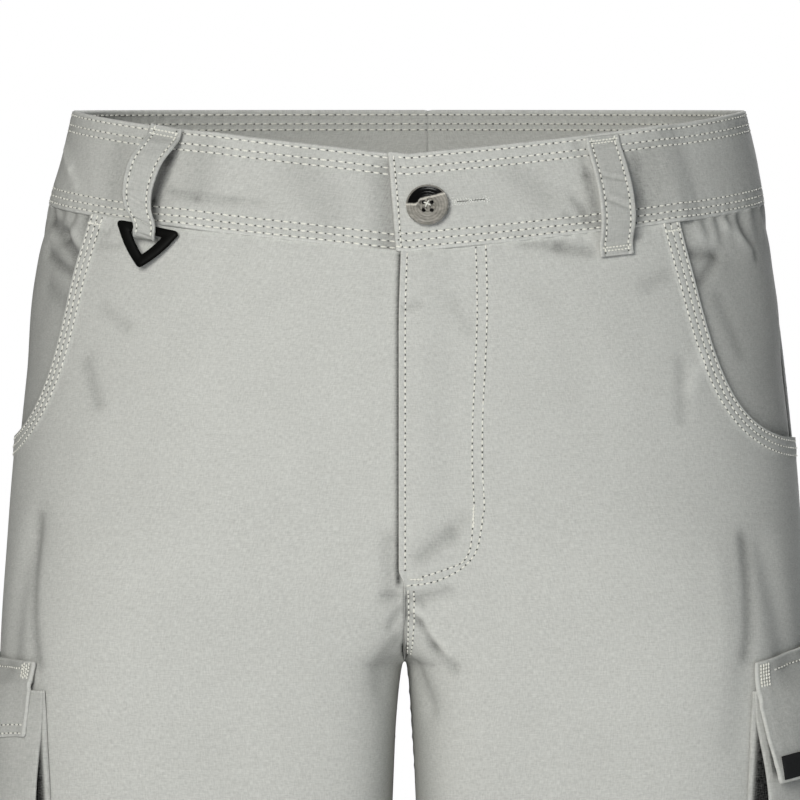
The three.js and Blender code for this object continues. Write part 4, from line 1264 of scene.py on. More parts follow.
def flap_place(side, share, level, offset):
    """Level, girth and offset of a point of the flap."""
    down = np.clip((FLAP_LEVEL - level) / (FLAP_LEVEL - FLAP_FOOT), 0, 1.1)
    inset = FLAP_TAPER[side] * smooth(0.1, 1, down) ** 1.4
    depth = lerp(FLAP_FRONT_DEPTH[side], 1, smooth(0, 0.6, share))
    seam = side_seam(side, level)
    girth = lerp(CARGO_FRONT + seam + inset, CARGO_BACK + seam - inset, share)
    slope = FLAP_RISE[side] * (girth - CARGO_FRONT) * (1 - share * 0.5)
    hang = stand_at(FLAP_EDGE[side], level) - stand_at(FLAP_SECTION, level)
    offset = offset + hang * (1 - smooth(0, 0.24, share))
    return FLAP_LEVEL + (level - FLAP_LEVEL) * depth + slope, girth, offset


# Settings a user would change

def length_setting(name, description, default, low, high):
    return FloatProperty(name=name, description=description, default=default, min=low, max=high, unit="LENGTH")


def colour_setting(name, description, default):
    return FloatVectorProperty(name=name, description=description, default=default, subtype="COLOR", size=3,
                               min=0, max=1)


class ShortsSizes(bpy.types.PropertyGroup):
    """Sizes of the cloth's mesh and of the sewing."""

    cloth_step: length_setting("Cloth step", "Spacing of the cloth's mesh", 0.0016, 0.001, 0.02)
    stitch_pitch: length_setting("Stitch pitch", "From one stitch to the next", 0.0030, 0.001, 0.01)
    stitch_share: FloatProperty(name="Stitch share", description="Share of the pitch that shows as thread",
                                default=0.74, min=0.2, max=1.0, subtype="FACTOR")
    thread_width: length_setting("Thread width", "Width of the topstitching thread", 0.0009, 0.0002, 0.003)
    hole_size: length_setting("Needle hole", "Width of a needle hole", 0.0009, 0.0002, 0.002)
    ring_rounding: IntProperty(name="Ring rounding", description="Subdivision of the hook ring", default=1,
                               min=0, max=3)


class ShortsColours(bpy.types.PropertyGroup):
    """Colours of the cloth and trimmings."""

    twill: colour_setting("Twill", "Washed sage cotton", (0.513, 0.515, 0.492))
    thread: colour_setting("Thread", "Ecru topstitching", (0.84, 0.83, 0.76))
    # Colour of the dark needle-hole marks, painted shade
    hole: colour_setting("Needle holes", "Shaded needle holes", (0.055, 0.06, 0.045))
    horn: colour_setting("Horn", "Pale side of the button", (0.3, 0.285, 0.255))
    # The painted dark reflection and the painted shade in the button's holes
    horn_painted_dark: colour_setting("Painted dark horn", "Painted dark reflection and hole shade on the button", (0.004, 0.004, 0.004))
    black: colour_setting("Black plastic", "Hook ring", (0.0045, 0.0045, 0.0042))
    tape: colour_setting("Black tape", "Label", (0.012, 0.012, 0.013))


FINISHES = {}


def finish(name):
    """The shared materials, made once."""
    if not FINISHES:
        colours = bpy.context.scene.shorts_colours
        twill = tuple(colours.twill)
        FINISHES["twill"] = cloth_material("twill", twill)
        FINISHES["band"] = cloth_material("waistband twill", tuple(value * 0.97 for value in twill))
        # A darker copy of the twill as painted shade, for the facings, loops, hook strap, cargo pockets and
        # flaps
        FINISHES["shaded_trim"] = cloth_material("trim twill in painted shade", tuple(value * 0.86 for value in twill), 0.08)
        FINISHES["thread"] = thread_material("ecru thread", tuple(colours.thread))
        # Dark marks between stitches and along the buttonhole slit: painted shade
        FINISHES["hole"] = thread_material("needle holes", tuple(colours.hole))
        FINISHES["sage"] = thread_material("sage thread", tuple(min(1.0, value * 1.4) for value in twill))
        FINISHES["black"] = plastic_material("black plastic", tuple(colours.black), 0.2)
        FINISHES["tape"] = cloth_material("black tape", tuple(colours.tape), 0.02)
        FINISHES["tree"] = stitch_tree()
    return FINISHES[name]


def sewn(name, rows, pitch=None, length=None, width=None, holes=True, thread="thread"):
    """Thread along rows, and dark needle-hole marks between the stitches as painted shade."""
    sizes = bpy.context.scene.shorts_sizes
    pitch = pitch or sizes.stitch_pitch
    stitched(name, rows, {
        "Pitch": pitch, "Length": length or pitch * sizes.stitch_share, "Width": width or sizes.thread_width,
        "Height": THREAD_HEIGHT, "Between": False, "Sides": 6, "Rings": 4, "Finish": finish(thread)})
    if holes:
        size = sizes.hole_size
        stitched(name + "_holes", rows, {
            "Pitch": pitch, "Length": size, "Width": size * 0.95, "Height": size * 0.5,
            "Between": True, "Sides": 4, "Rings": 3, "Finish": finish("hole")})


def tacked(name, rows):
    """Close stitches across the end of a loop."""
    sewn(name, rows, pitch=TACK_PITCH, length=TACK_PITCH, width=0.0009, holes=False)


class SHORTS_OT_fronts(bpy.types.Operator):
    """Make both front panels with their fly, pocket hems and creases"""

    bl_idname = "shorts.fronts"
    bl_label = "Front panels"

    def execute(self, context):
        for side, label in SIDES:
            level, girth = front_places(side, context.scene.shorts_sizes)
            offset = front_offset(side, level, girth)
            cloth_piece(f"front_panel_{label}", f"front_{label}", side, (level, girth), offset,
                        hem_step(level), finish("twill"), [f"waistband_{label}"],
                        shade=front_shade(side, level, girth))
        return {"FINISHED"}


class SHORTS_OT_backs(bpy.types.Operator):
    """Make both back panels"""

    bl_idname = "shorts.backs"
    bl_label = "Back panels"

    def execute(self, context):
        for side, label in SIDES:
            level, girth = back_places(side, context.scene.shorts_sizes)
            cloth_piece(f"back_panel_{label}", f"back_{label}", side, (level, girth),
                        back_offset(side, level, girth), hem_step(level), finish("twill"),
                        [f"waistband_{label}"])
        return {"FINISHED"}


class SHORTS_OT_facings(bpy.types.Operator):
    """Make the facings that show in the front pockets' openings"""

    bl_idname = "shorts.facings"
    bl_label = "Pocket facings"

    def execute(self, context):
        # Even rows down the opening, then closer ones round its foot
        even = np.arcsin((np.linspace(0, 0.92, 64) / FACING_UNDER) ** (POCKET_CORNER / 2))
        turns = np.concatenate([even, np.radians(np.linspace(45, 86, 26))])
        shares = np.linspace(0, 1, 64)
        for side, label in SIDES:
            drop = FACING_UNDER * np.sin(turns) ** (2 / POCKET_CORNER)
            level = np.repeat((PANEL_TOP - POCKET_DEPTH * drop)[:, None], len(shares), axis=1)
            reach = FACING_UNDER * POCKET_WIDTH * np.cos(turns) ** (2 / POCKET_CORNER)
            from_seam = reach[:, None] * (1 - shares[None, :])
            edge = (from_seam / POCKET_WIDTH) ** POCKET_CORNER + drop[:, None] ** POCKET_CORNER
            edge = edge ** (1 / POCKET_CORNER)
            offset = -FACING_DROP * smooth(0.38, 0.74, edge)
            girth = side_seam(side, level) - SEAM_GAP / 2 - from_seam
            pucker = ripple(girth, PANEL_TOP - level, wave=11, width=11, depth=0.55)
            pull = 0.5 * np.exp(-(((level + 36) / 11) ** 2)) * np.sin((girth + level) / 5.5)
            offset = offset + pucker * (1 - smooth(0.8, 1.0, edge)) + pull * (1 - smooth(0.75, 0.95, edge))
            offset = offset - troughs(FACING_CREASES, side, level, girth) * (1 - smooth(0.92, 1.06, edge))
            # Painted shade in the facing's creases, a painted shadow under the pocket's edge and another under
            # the band; ridges get a painted highlight
            shade = troughs(FACING_CREASES, side, level, girth) + 0.9 * np.exp(-(((edge - 0.985) / 0.04) ** 2))
            shade = np.clip(shade + np.exp(-(((PANEL_TOP - level) / 1.6) ** 2)), -1, 1.8)
            cloth_piece(f"pocket_facing_{label}", f"facing_{label}", side, (level, girth), offset, CLOTH,
                        finish("shaded_trim"), [f"waistband_{label}"], shade=shade)
        return {"FINISHED"}


class SHORTS_OT_waistband(bpy.types.Operator):
    """Make both halves of the waistband, the left one lapping over the right one"""

    bl_idname = "shorts.waistband"
    bl_label = "Waistband"

    def execute(self, context):
        for side, label in SIDES:
            level, girth = band_places(side)
            # Painted shade in the band's creases, and painted shadows beside the loops
            creases = troughs(BAND_CREASES, side, level, girth)
            cloth_piece(f"band_{label}", f"waistband_{label}", side, (level, girth),
                        band_offset(side, level, girth) - creases, BAND_CLOTH, finish("band"), held="folded",
                        shade=creases + troughs(BAND_SHADES, side, level, girth))
        return {"FINISHED"}


BELT_LOOPS = (
    ("loop_front_left", 1, "front", 0.575),
    ("loop_back_left", 1, "back", 0.4),
    ("loop_back_right", -1, "back", 0.51),
    ("loop_back_centre", -1, "back", 0.935),
)
LOOP_HALF = (0.1, 0.3, 0.45, 0.6, 0.68, 0.74, 0.8, 0.87, 0.94, 1)
LOOP_COLUMNS = np.array([-place for place in LOOP_HALF[::-1]] + list(LOOP_HALF)) / 2
LOOP_ROW = 0.37
LOOP_PER_SPAN = 14
# Place along the loop, depth, width and slant of each crease
LOOP_CREASES = (
    (0.43, 1.0, 0.011, 0.06), (0.565, 1.1, 0.011, 0.08), (0.2, 0.35, 0.02, -0.05), (0.78, 0.3, 0.03, 0.1),
)


def loop_bulge(across, along):
    """Folded edges, stitch grooves and cross creases of a loop's strip."""
    edge = np.abs(across)
    lift = 0.45 * smooth(0.385, 0.42, edge) + groove((edge - LOOP_ROW) * LOOP_WIDTH, depth=0.3, width=0.6)
    lift = lift + 0.12 * np.sin(along * 95) * np.exp(-(((edge - LOOP_ROW) / 0.06) ** 2))
    for place, deep, width, slant in LOOP_CREASES:
        away = (along - place - slant * across) / width
        crease = 0.5 * np.exp(-((away + 2.2) ** 2)) - np.exp(-(away ** 2))
        lift = lift + deep * crease * (1 - smooth(0.3, 0.42, edge))
    return lift


class SHORTS_OT_belt_loops(bpy.types.Operator):
    """Make the plain belt loops and sew their edges"""

    bl_idname = "shorts.belt_loops"
    bl_label = "Belt loops"

    def execute(self, context):
        edges, tacks = [], []
        path = spline(LOOP_SECTION, LOOP_PER_SPAN)
        inner_path, outer_path = strip(path, LOOP_CLOTH)
        along = np.linspace(0, 1, len(path))[:, None]
        raised_row = loop_bulge(np.array([[LOOP_ROW]]), along)[:, 0] + LOOP_THREAD_LIFT
        for node, side, end, share in BELT_LOOPS:
            across = LOOP_COLUMNS[None, :] * LOOP_WIDTH
            lift = loop_bulge(LOOP_COLUMNS[None, :], along)
            faces = []
            for face_path, raised in ((outer_path, lift), (inner_path, lift * 0.5)):
                level = np.repeat(face_path[:, :1], across.shape[1], axis=1)
                faces.append(loop_surface(side, end, share, across, level, face_path[:, 1:] + raised))
            uv = np.stack(np.broadcast_arrays(across + share * 400, path[:, :1]), axis=-1)
            band = "waistband_left" if side > 0 else "waistband_right"
            cloth_shell(node.replace("loop", "belt_loop"), node, faces, finish("shaded_trim"), uv, "folded", [band])
            for where in (-LOOP_ROW, LOOP_ROW):
                level, out = outer_path[3:-3, 0], outer_path[3:-3, 1] + raised_row[3:-3]
                line = loop_surface(side, end, share, where * LOOP_WIDTH, level, out)
                edges.append((line, loop_normals(side, end, share, level)))
            for k in (5, 9, len(path) - 10, len(path) - 6):
                level = np.full(9, outer_path[k, 0])
                spread = np.linspace(-0.42, 0.42, 9) * LOOP_WIDTH
                line = loop_surface(side, end, share, spread, level, outer_path[k, 1] + 0.35)
                tacks.append((line, loop_normals(side, end, share, level)))
        sewn("belt_loop_stitches", edges, pitch=LOOP_PITCH)
        tacked("belt_loop_tacks", tacks)
        return {"FINISHED"}


def hook_strap_section():
    """The strap's rows down to the ring's bar, round it and back up behind."""
    section = [tuple(row) for row in HOOK_STRAP]
    for degrees in (0, 30, 60, 85):
        turn = math.radians(degrees)
        section.append((-WRAP * math.sin(turn), WRAP * math.cos(turn), WRAP_SHIFT, WRAP_WIDTH))
    section.append((-WRAP, LOOP_SEAT - RING_OFFSET, WRAP_SHIFT, WRAP_WIDTH))
    return np.array(section, float)


class SHORTS_OT_hook_loop(bpy.types.Operator):
    """Make the front loop whose strap holds the hook ring"""

    bl_idname = "shorts.hook_loop"
    bl_label = "Hook loop"

    def execute(self, context):
        section = spline(hook_strap_section(), 10)
        inner_path, outer_path = strip(section[:, :2], LOOP_CLOTH)
        along = np.linspace(0, 1, len(section))[:, None]
        base = ring_basis(-1)
        lift = loop_bulge(LOOP_COLUMNS[None, :], along)
        run = np.gradient(section[:, :2], axis=0)
        run /= np.linalg.norm(run, axis=1, keepdims=True)
        out_of = np.stack([run[:, 1], -run[:, 0]], axis=1)
        across = section[:, 2:3] + section[:, 3:4] * LOOP_COLUMNS[None, :]

        def surface(path, raised):
            up = path[:, :1] + out_of[:, :1] * raised
            out = path[:, 1:2] + out_of[:, 1:2] * raised
            return in_basis(base, np.stack(np.broadcast_arrays(across, up, out), axis=-1))

        faces = surface(outer_path, lift), surface(inner_path, lift * 0.5)
        uv = np.stack(np.broadcast_arrays(across, along * 90), axis=-1)
        cloth_shell("hook_strap", "loop_front_right", faces, finish("shaded_trim"), uv, "folded", ["waistband_right"])
        edges, tacks = [], []
        last = len(section) - 30
        raised_row = loop_bulge(np.array([[LOOP_ROW]]), along)[:, 0] + LOOP_THREAD_LIFT
        directions = np.column_stack([np.zeros(len(section)), out_of]) @ base[1].T
        for where in (-LOOP_ROW, LOOP_ROW):
            line = in_basis(base, np.column_stack([section[:, 2] + section[:, 3] * where, outer_path]))
            edges.append(((line + directions * raised_row[:, None])[2:last], directions[2:last]))
        for k in (4, 9):
            spread = np.linspace(-0.44, 0.44, 9)
            line = np.column_stack([section[k, 2] + section[k, 3] * spread, np.full(9, outer_path[k, 0]),
                                    np.full(9, outer_path[k, 1])])
            lie = np.repeat(directions[k:k + 1], len(spread), axis=0)
            tacks.append((in_basis(base, line) + directions[k] * 0.3, lie))
        sewn("hook_strap_stitches", edges, pitch=LOOP_PITCH)
        tacked("hook_strap_tacks", tacks)
        return {"FINISHED"}


class SHORTS_OT_hook_ring(bpy.types.Operator):
    """Make the triangular hook ring with bevelled edges"""

    bl_idname = "shorts.hook_ring"
    bl_label = "Hook ring"

    def execute(self, context):
        top = RING_BAR / 2
        slope = math.atan2(RING_WIDTH / 2, RING_HEIGHT)
        inner_half = (RING_WIDTH / 2) * (1 - RING_BAR / RING_HEIGHT) - RING_BAR / math.cos(slope)
        inner_foot = -top - inner_half / math.tan(slope)
        outer = triangle_outline(RING_WIDTH / 2 + 1, top, top - RING_HEIGHT - 1.5, 2.6, 1.6)
        inner = triangle_outline(inner_half + 0.6, -top, inner_foot - 0.9, 0.6, 0.6)
        points, faces = section_ring(outer, inner, RING_THICK / 2, 0.75)
        points = in_basis(ring_basis(-1), points + np.array([RING_SHIFT, 0, 0]))
        piece = mesh_object("triangle_ring", points, faces, finish("black"))
        rounding = context.scene.shorts_sizes.ring_rounding
        modifier = piece.modifiers.new("Rounded", "SUBSURF")
        modifier.levels = rounding
        modifier.render_levels = rounding
        marked(piece, "hook_ring", RING_BODY)
        return {"FINISHED"}


BUTTON_AROUND = 112
# First radius, end and step of the circles on the button's face
BUTTON_RADII = ((0.22, 4.8, 0.22), (4.9, 8.4, 0.2), (8.4, 9.5, 0.14))
# Radius and height of those round its edge and under it
BUTTON_EDGE = (
    (9.66, 3.1), (BUTTON_RADIUS, 2.75), (BUTTON_RADIUS, 0.9), (9.6, 0.35), (9.1, 0.05), (6.0, 0), (2.0, 0),
)


def button_height(radius, across, up):
    """The turned face of the button above its underside."""
    height = BUTTON_THICK + 0.35 * np.exp(-(((radius - 8.7) / 0.9) ** 2))
    height = height - 0.75 * (1 - smooth(3.9, 4.7, radius))
    height = height + 0.05 * np.sin(radius * 7.4) * smooth(4.6, 5.2, radius) * (1 - smooth(8, 8.6, radius))
    for side_x in (-1, 1):
        for side_z in (-1, 1):
            away = np.hypot(across - side_x * BUTTON_PITCH, up - side_z * BUTTON_PITCH)
            height = height - 1.9 * (1 - smooth(BUTTON_HOLE * 0.95, BUTTON_HOLE * 1.35, away))
    return height


class SHORTS_OT_button(bpy.types.Operator):
    """Make the four-hole waist button and its thread"""

    bl_idname = "shorts.button"
    bl_label = "Waist button"

    def execute(self, context):
        colours = context.scene.shorts_colours
        girth = ring_near(BUTTON_LEVEL).where(BUTTON_X, -1)
        origin, basis = basis_at(1, BUTTON_LEVEL, girth, BAND_PROUD + 2.6)
        tilt = np.array([[1, 0, 0], [0, math.cos(BUTTON_TILT), math.sin(BUTTON_TILT)],
                         [0, -math.sin(BUTTON_TILT), math.cos(BUTTON_TILT)]])
        base = (origin, basis @ tilt)
        around = BUTTON_AROUND
        turn = np.arange(around) * 2 * math.pi / around
        radii = np.concatenate([np.arange(*spacing) for spacing in BUTTON_RADII])
        across = radii[:, None] * np.cos(turn)[None, :]
        up = radii[:, None] * np.sin(turn)[None, :]
        top = np.stack([across, up, button_height(radii[:, None], across, up)], axis=-1)
        edge = []
        for radius, height in BUTTON_EDGE:
            circle = radius * np.cos(turn), radius * np.sin(turn), np.full(around, height)
            edge.append(np.column_stack(circle))
        rings = np.concatenate([top, np.array(edge)])
        count = len(rings)
        grid = np.arange(count * around).reshape(count, around)
        beside = np.roll(grid, -1, axis=1)
        faces = np.stack([grid[:-1], grid[1:], beside[1:], beside[:-1]], axis=-1).reshape(-1, 4)
        points = rings.reshape(-1, 3)
        centre_top = len(points)
        points = np.concatenate([points, [(0, 0, button_height(np.array(0.0), 0.0, 0.0)), (0, 0, 0)]])
        caps = [(centre_top, grid[0, k], beside[0, k], beside[0, k]) for k in range(around)]
        caps += [(centre_top + 1, beside[-1, k], grid[-1, k], grid[-1, k]) for k in range(around)]
        material = horn_material("horn", tuple(base[0] * MM), tuple(colours.horn), tuple(colours.horn_painted_dark))
        button = triangles_object("horn_button", in_basis(base, points), faces, caps, material)
        marked(button, "waist_button")
        share = np.linspace(-1, 1, 13)
        arch = BUTTON_THICK - 1.0 + 0.8 * np.sqrt(np.maximum(0, 1 - share ** 4))
        rod = np.zeros(5)
        for name, line, radius, sides in (
                ("button_thread_rising", (share * CROSS_REACH, share * CROSS_REACH, arch + 0.25), 0.36, 8),
                ("button_thread_falling", (share * CROSS_REACH, -share * CROSS_REACH, arch), 0.36, 8),
                ("button_shank", (rod, rod, np.linspace(-2.2, 0.3, 5)), 1.5, 12)):
            points, faces, ends = tube(in_basis(base, np.column_stack(line)), radius, sides)
            marked(triangles_object(name, points, faces, ends, finish("thread")))
        return {"FINISHED"}


CARGO_HEM = CARGO_TOP - 19
# Points of the pocket's outline between which the painted shade in the tuck starts and ends, and where the
# face starts that gets painted shadow under the flap
TUCK_SHADE = 4.0
TUCK_STARTS = (9, 13)
TUCK_ENDS = (36, 40)
FACE_STARTS = (48.5, 50.5)


class SHORTS_OT_cargo_pockets(bpy.types.Operator):
    """Make both bellows pockets"""

    bl_idname = "shorts.cargo_pockets"
    bl_label = "Cargo pockets"

    def execute(self, context):
        for side, label in SIDES:
            body = np.concatenate([[CARGO_TOP, CARGO_TOP - 1], np.arange(CARGO_TOP - 4, CARGO_FOOT + 3, -4.0)])
            rows = [(level, 1.0) for level in body] + [(CARGO_FOOT + 1, 1.0)]
            rows += [(CARGO_FOOT, stand) for stand in (0.94, 0.75, 0.5, 0.28)]
            outer, inner, uv, shade = [], [], [], []
            for level, stand in rows:
                fold = GUSSET_FOLD * float(smooth(CARGO_FOOT + 4, CARGO_FOOT + 40, level))
                section = cargo_section(side, level, fold)
                face, lining = strip(section, GUSSET_CLOTH)
                girth, offset = face[:, 0], np.maximum(face[:, 1] * stand, 0.9)
                sag = 0.7 * np.sin(section[:, 0] / 21 + level / 33) * smooth(4, 11, section[:, 1])
                hem = 0.3 * smooth(CARGO_HEM - 1, CARGO_HEM, level)
                hem = hem + groove(level - CARGO_HEM, depth=0.3, width=1.4)
                offset = offset + sag + hem * smooth(4, 9, section[:, 1])
                outer.append(at(side, level, girth, offset))
                if stand < 1:
                    inner.append(at(side, level + GUSSET_CLOTH, girth, np.maximum(offset, 1.0)))
                else:
                    inner.append(at(side, level, lining[:, 0], np.maximum(lining[:, 1] + sag, 0.6)))
                along = np.concatenate([[0], np.cumsum(np.linalg.norm(np.diff(section, axis=0), axis=1))])
                uv.append(np.column_stack([along, np.full(len(along), level - (1 - stand) * 12)]))
                order = np.arange(len(section))
                # Painted shade deep in the gusset's tuck
                tuck = TUCK_SHADE * smooth(*TUCK_STARTS, order) * (1 - smooth(*TUCK_ENDS, order))
                tuck = tuck * smooth(CARGO_FOOT + 6, CARGO_FOOT + 26, level)
                # Painted shadow on the left pocket's face under its flap
                under_flap_shadow = (3.0 if side > 0 else 0.0) * smooth(FLAP_FOOT - 1, FLAP_FOOT + 5, level)
                shade.append(np.maximum(tuck, under_flap_shadow * smooth(*FACE_STARTS, order)))
            faces = np.array(outer), np.array(inner)
            panels = [f"front_panel_{label}", f"back_panel_{label}"]
            cloth_shell(f"bellows_pocket_{label}", f"cargo_pocket_{label}", faces, finish("shaded_trim"),
                        np.array(uv), "folded", panels, shade=np.array(shade))
        return {"FINISHED"}


FLAP_EDGE_SHARES = np.array([0, 0.004, 0.009, 0.016, 0.026, 0.036, 0.044, 0.056])
FLAP_SHARES = np.concatenate([FLAP_EDGE_SHARES, np.linspace(0.07, 0.93, 44), 1 - FLAP_EDGE_SHARES[::-1]])
FLAP_FOOT_ROWS = (1.8, 8.0)


def flap_lift(side, share, level):
    foot = level - FLAP_FOOT
    lift = 0.35 * np.sin(share * 23 + side) * smooth(0, 30, FLAP_LEVEL - level)
    for row in FLAP_FOOT_ROWS:
        lift = lift + groove(foot - row, depth=0.3, width=0.9)
    edge = np.minimum(share, 1 - share) * (CARGO_BACK - CARGO_FRONT)
    for row in FLAP_FOOT_ROWS:
        lift = lift + groove(edge - row, depth=0.26, width=0.9)
    return lift + ripple(share * 190, foot - 5, wave=8, width=6, depth=0.3)


class SHORTS_OT_flaps(bpy.types.Operator):
    """Make the cargo pockets' flaps and the bare tape label"""

    bl_idname = "shorts.flaps"
    bl_label = "Cargo flaps"

    def execute(self, context):
        path = spline(FLAP_SECTION, 8)
        tail = path[-9:]
        foot_levels = np.array([-284.5, -286, -288, -289.4, -290.2, -291, FLAP_FOOT])
        foot = np.column_stack([foot_levels, np.interp(foot_levels[::-1], tail[::-1, 0], tail[::-1, 1])[::-1]])
        path = np.concatenate([path[path[:, 0] > -283.5], foot])
        inner_path, outer_path = strip(path, FLAP_CLOTH)
        shares = FLAP_SHARES[None, :]
        for side, label in SIDES:
            lift = flap_lift(side, shares, path[:, :1])
            faces = []
            for face_path, raised in ((outer_path, lift), (inner_path, lift)):
                level, girth, offset = flap_place(side, shares, face_path[:, :1], face_path[:, 1:] + raised)
                faces.append(at(side, *np.broadcast_arrays(level, girth, offset)))
            uv = np.stack(np.broadcast_arrays(shares * 190, path[:, :1]), axis=-1)
            cloth_shell(f"pocket_flap_{label}", f"cargo_flap_{label}", faces, finish("shaded_trim"), uv, "hung",
                        [f"front_panel_{label}", f"back_panel_{label}"])
        levels = np.linspace(*LABEL_LEVELS, 9)[:, None]
        shares = np.linspace(*LABEL_SHARES, 13)[None, :]
        sunk = 0.3 * (levels - levels[0]) / (levels[-1] - levels[0])
        base = CARGO_STAND_OFF + FLAP_CLEAR + FLAP_CLOTH / 2 + 0.3 - sunk + 0.12 * np.sin(shares * 90)
        faces = []
        for lift in (0.5, 0.0):
            level, girth, offset = flap_place(1, shares, levels, base + lift)
            faces.append(at(1, *np.broadcast_arrays(level, girth, offset)))
        uv = np.stack(np.broadcast_arrays(shares * 190, levels), axis=-1)
        cloth_shell("tape_label", "flap_label", faces, finish("tape"), uv, "hung", ["pocket_flap_left"],
                    slot="black_tape", wear_depth=0.0)
        return {"FINISHED"}


def pocket_rows(side):
    """The three rows beside each front pocket's edge."""
    rows = []
    turn = np.linspace(0.02, math.pi / 2 - 0.001, 90)
    curve = np.stack([POCKET_WIDTH * np.cos(turn) ** (2 / POCKET_CORNER),
                      POCKET_DEPTH * np.sin(turn) ** (2 / POCKET_CORNER)], axis=1)
    out = np.stack([curve[:, 0] ** (POCKET_CORNER - 1) / POCKET_WIDTH ** POCKET_CORNER,
                    curve[:, 1] ** (POCKET_CORNER - 1) / POCKET_DEPTH ** POCKET_CORNER], axis=1)
    out /= np.linalg.norm(out, axis=1, keepdims=True)
    for distance in POCKET_ROWS:
        line = curve + out * distance
        top = [(line[0, 0], 1.0)]
        line = np.concatenate([top, line[line[:, 1] > 2]])
        level = PANEL_TOP - line[:, 1]
        girth = side_seam(side, level) - SEAM_GAP / 2 - line[:, 0]
        rows.append(panel_row(side, level, girth, front_offset))
    return rows


def band_row_lift(side, level, girth):
    return band_offset(side, level, girth) - troughs(BAND_CREASES, side, level, girth)


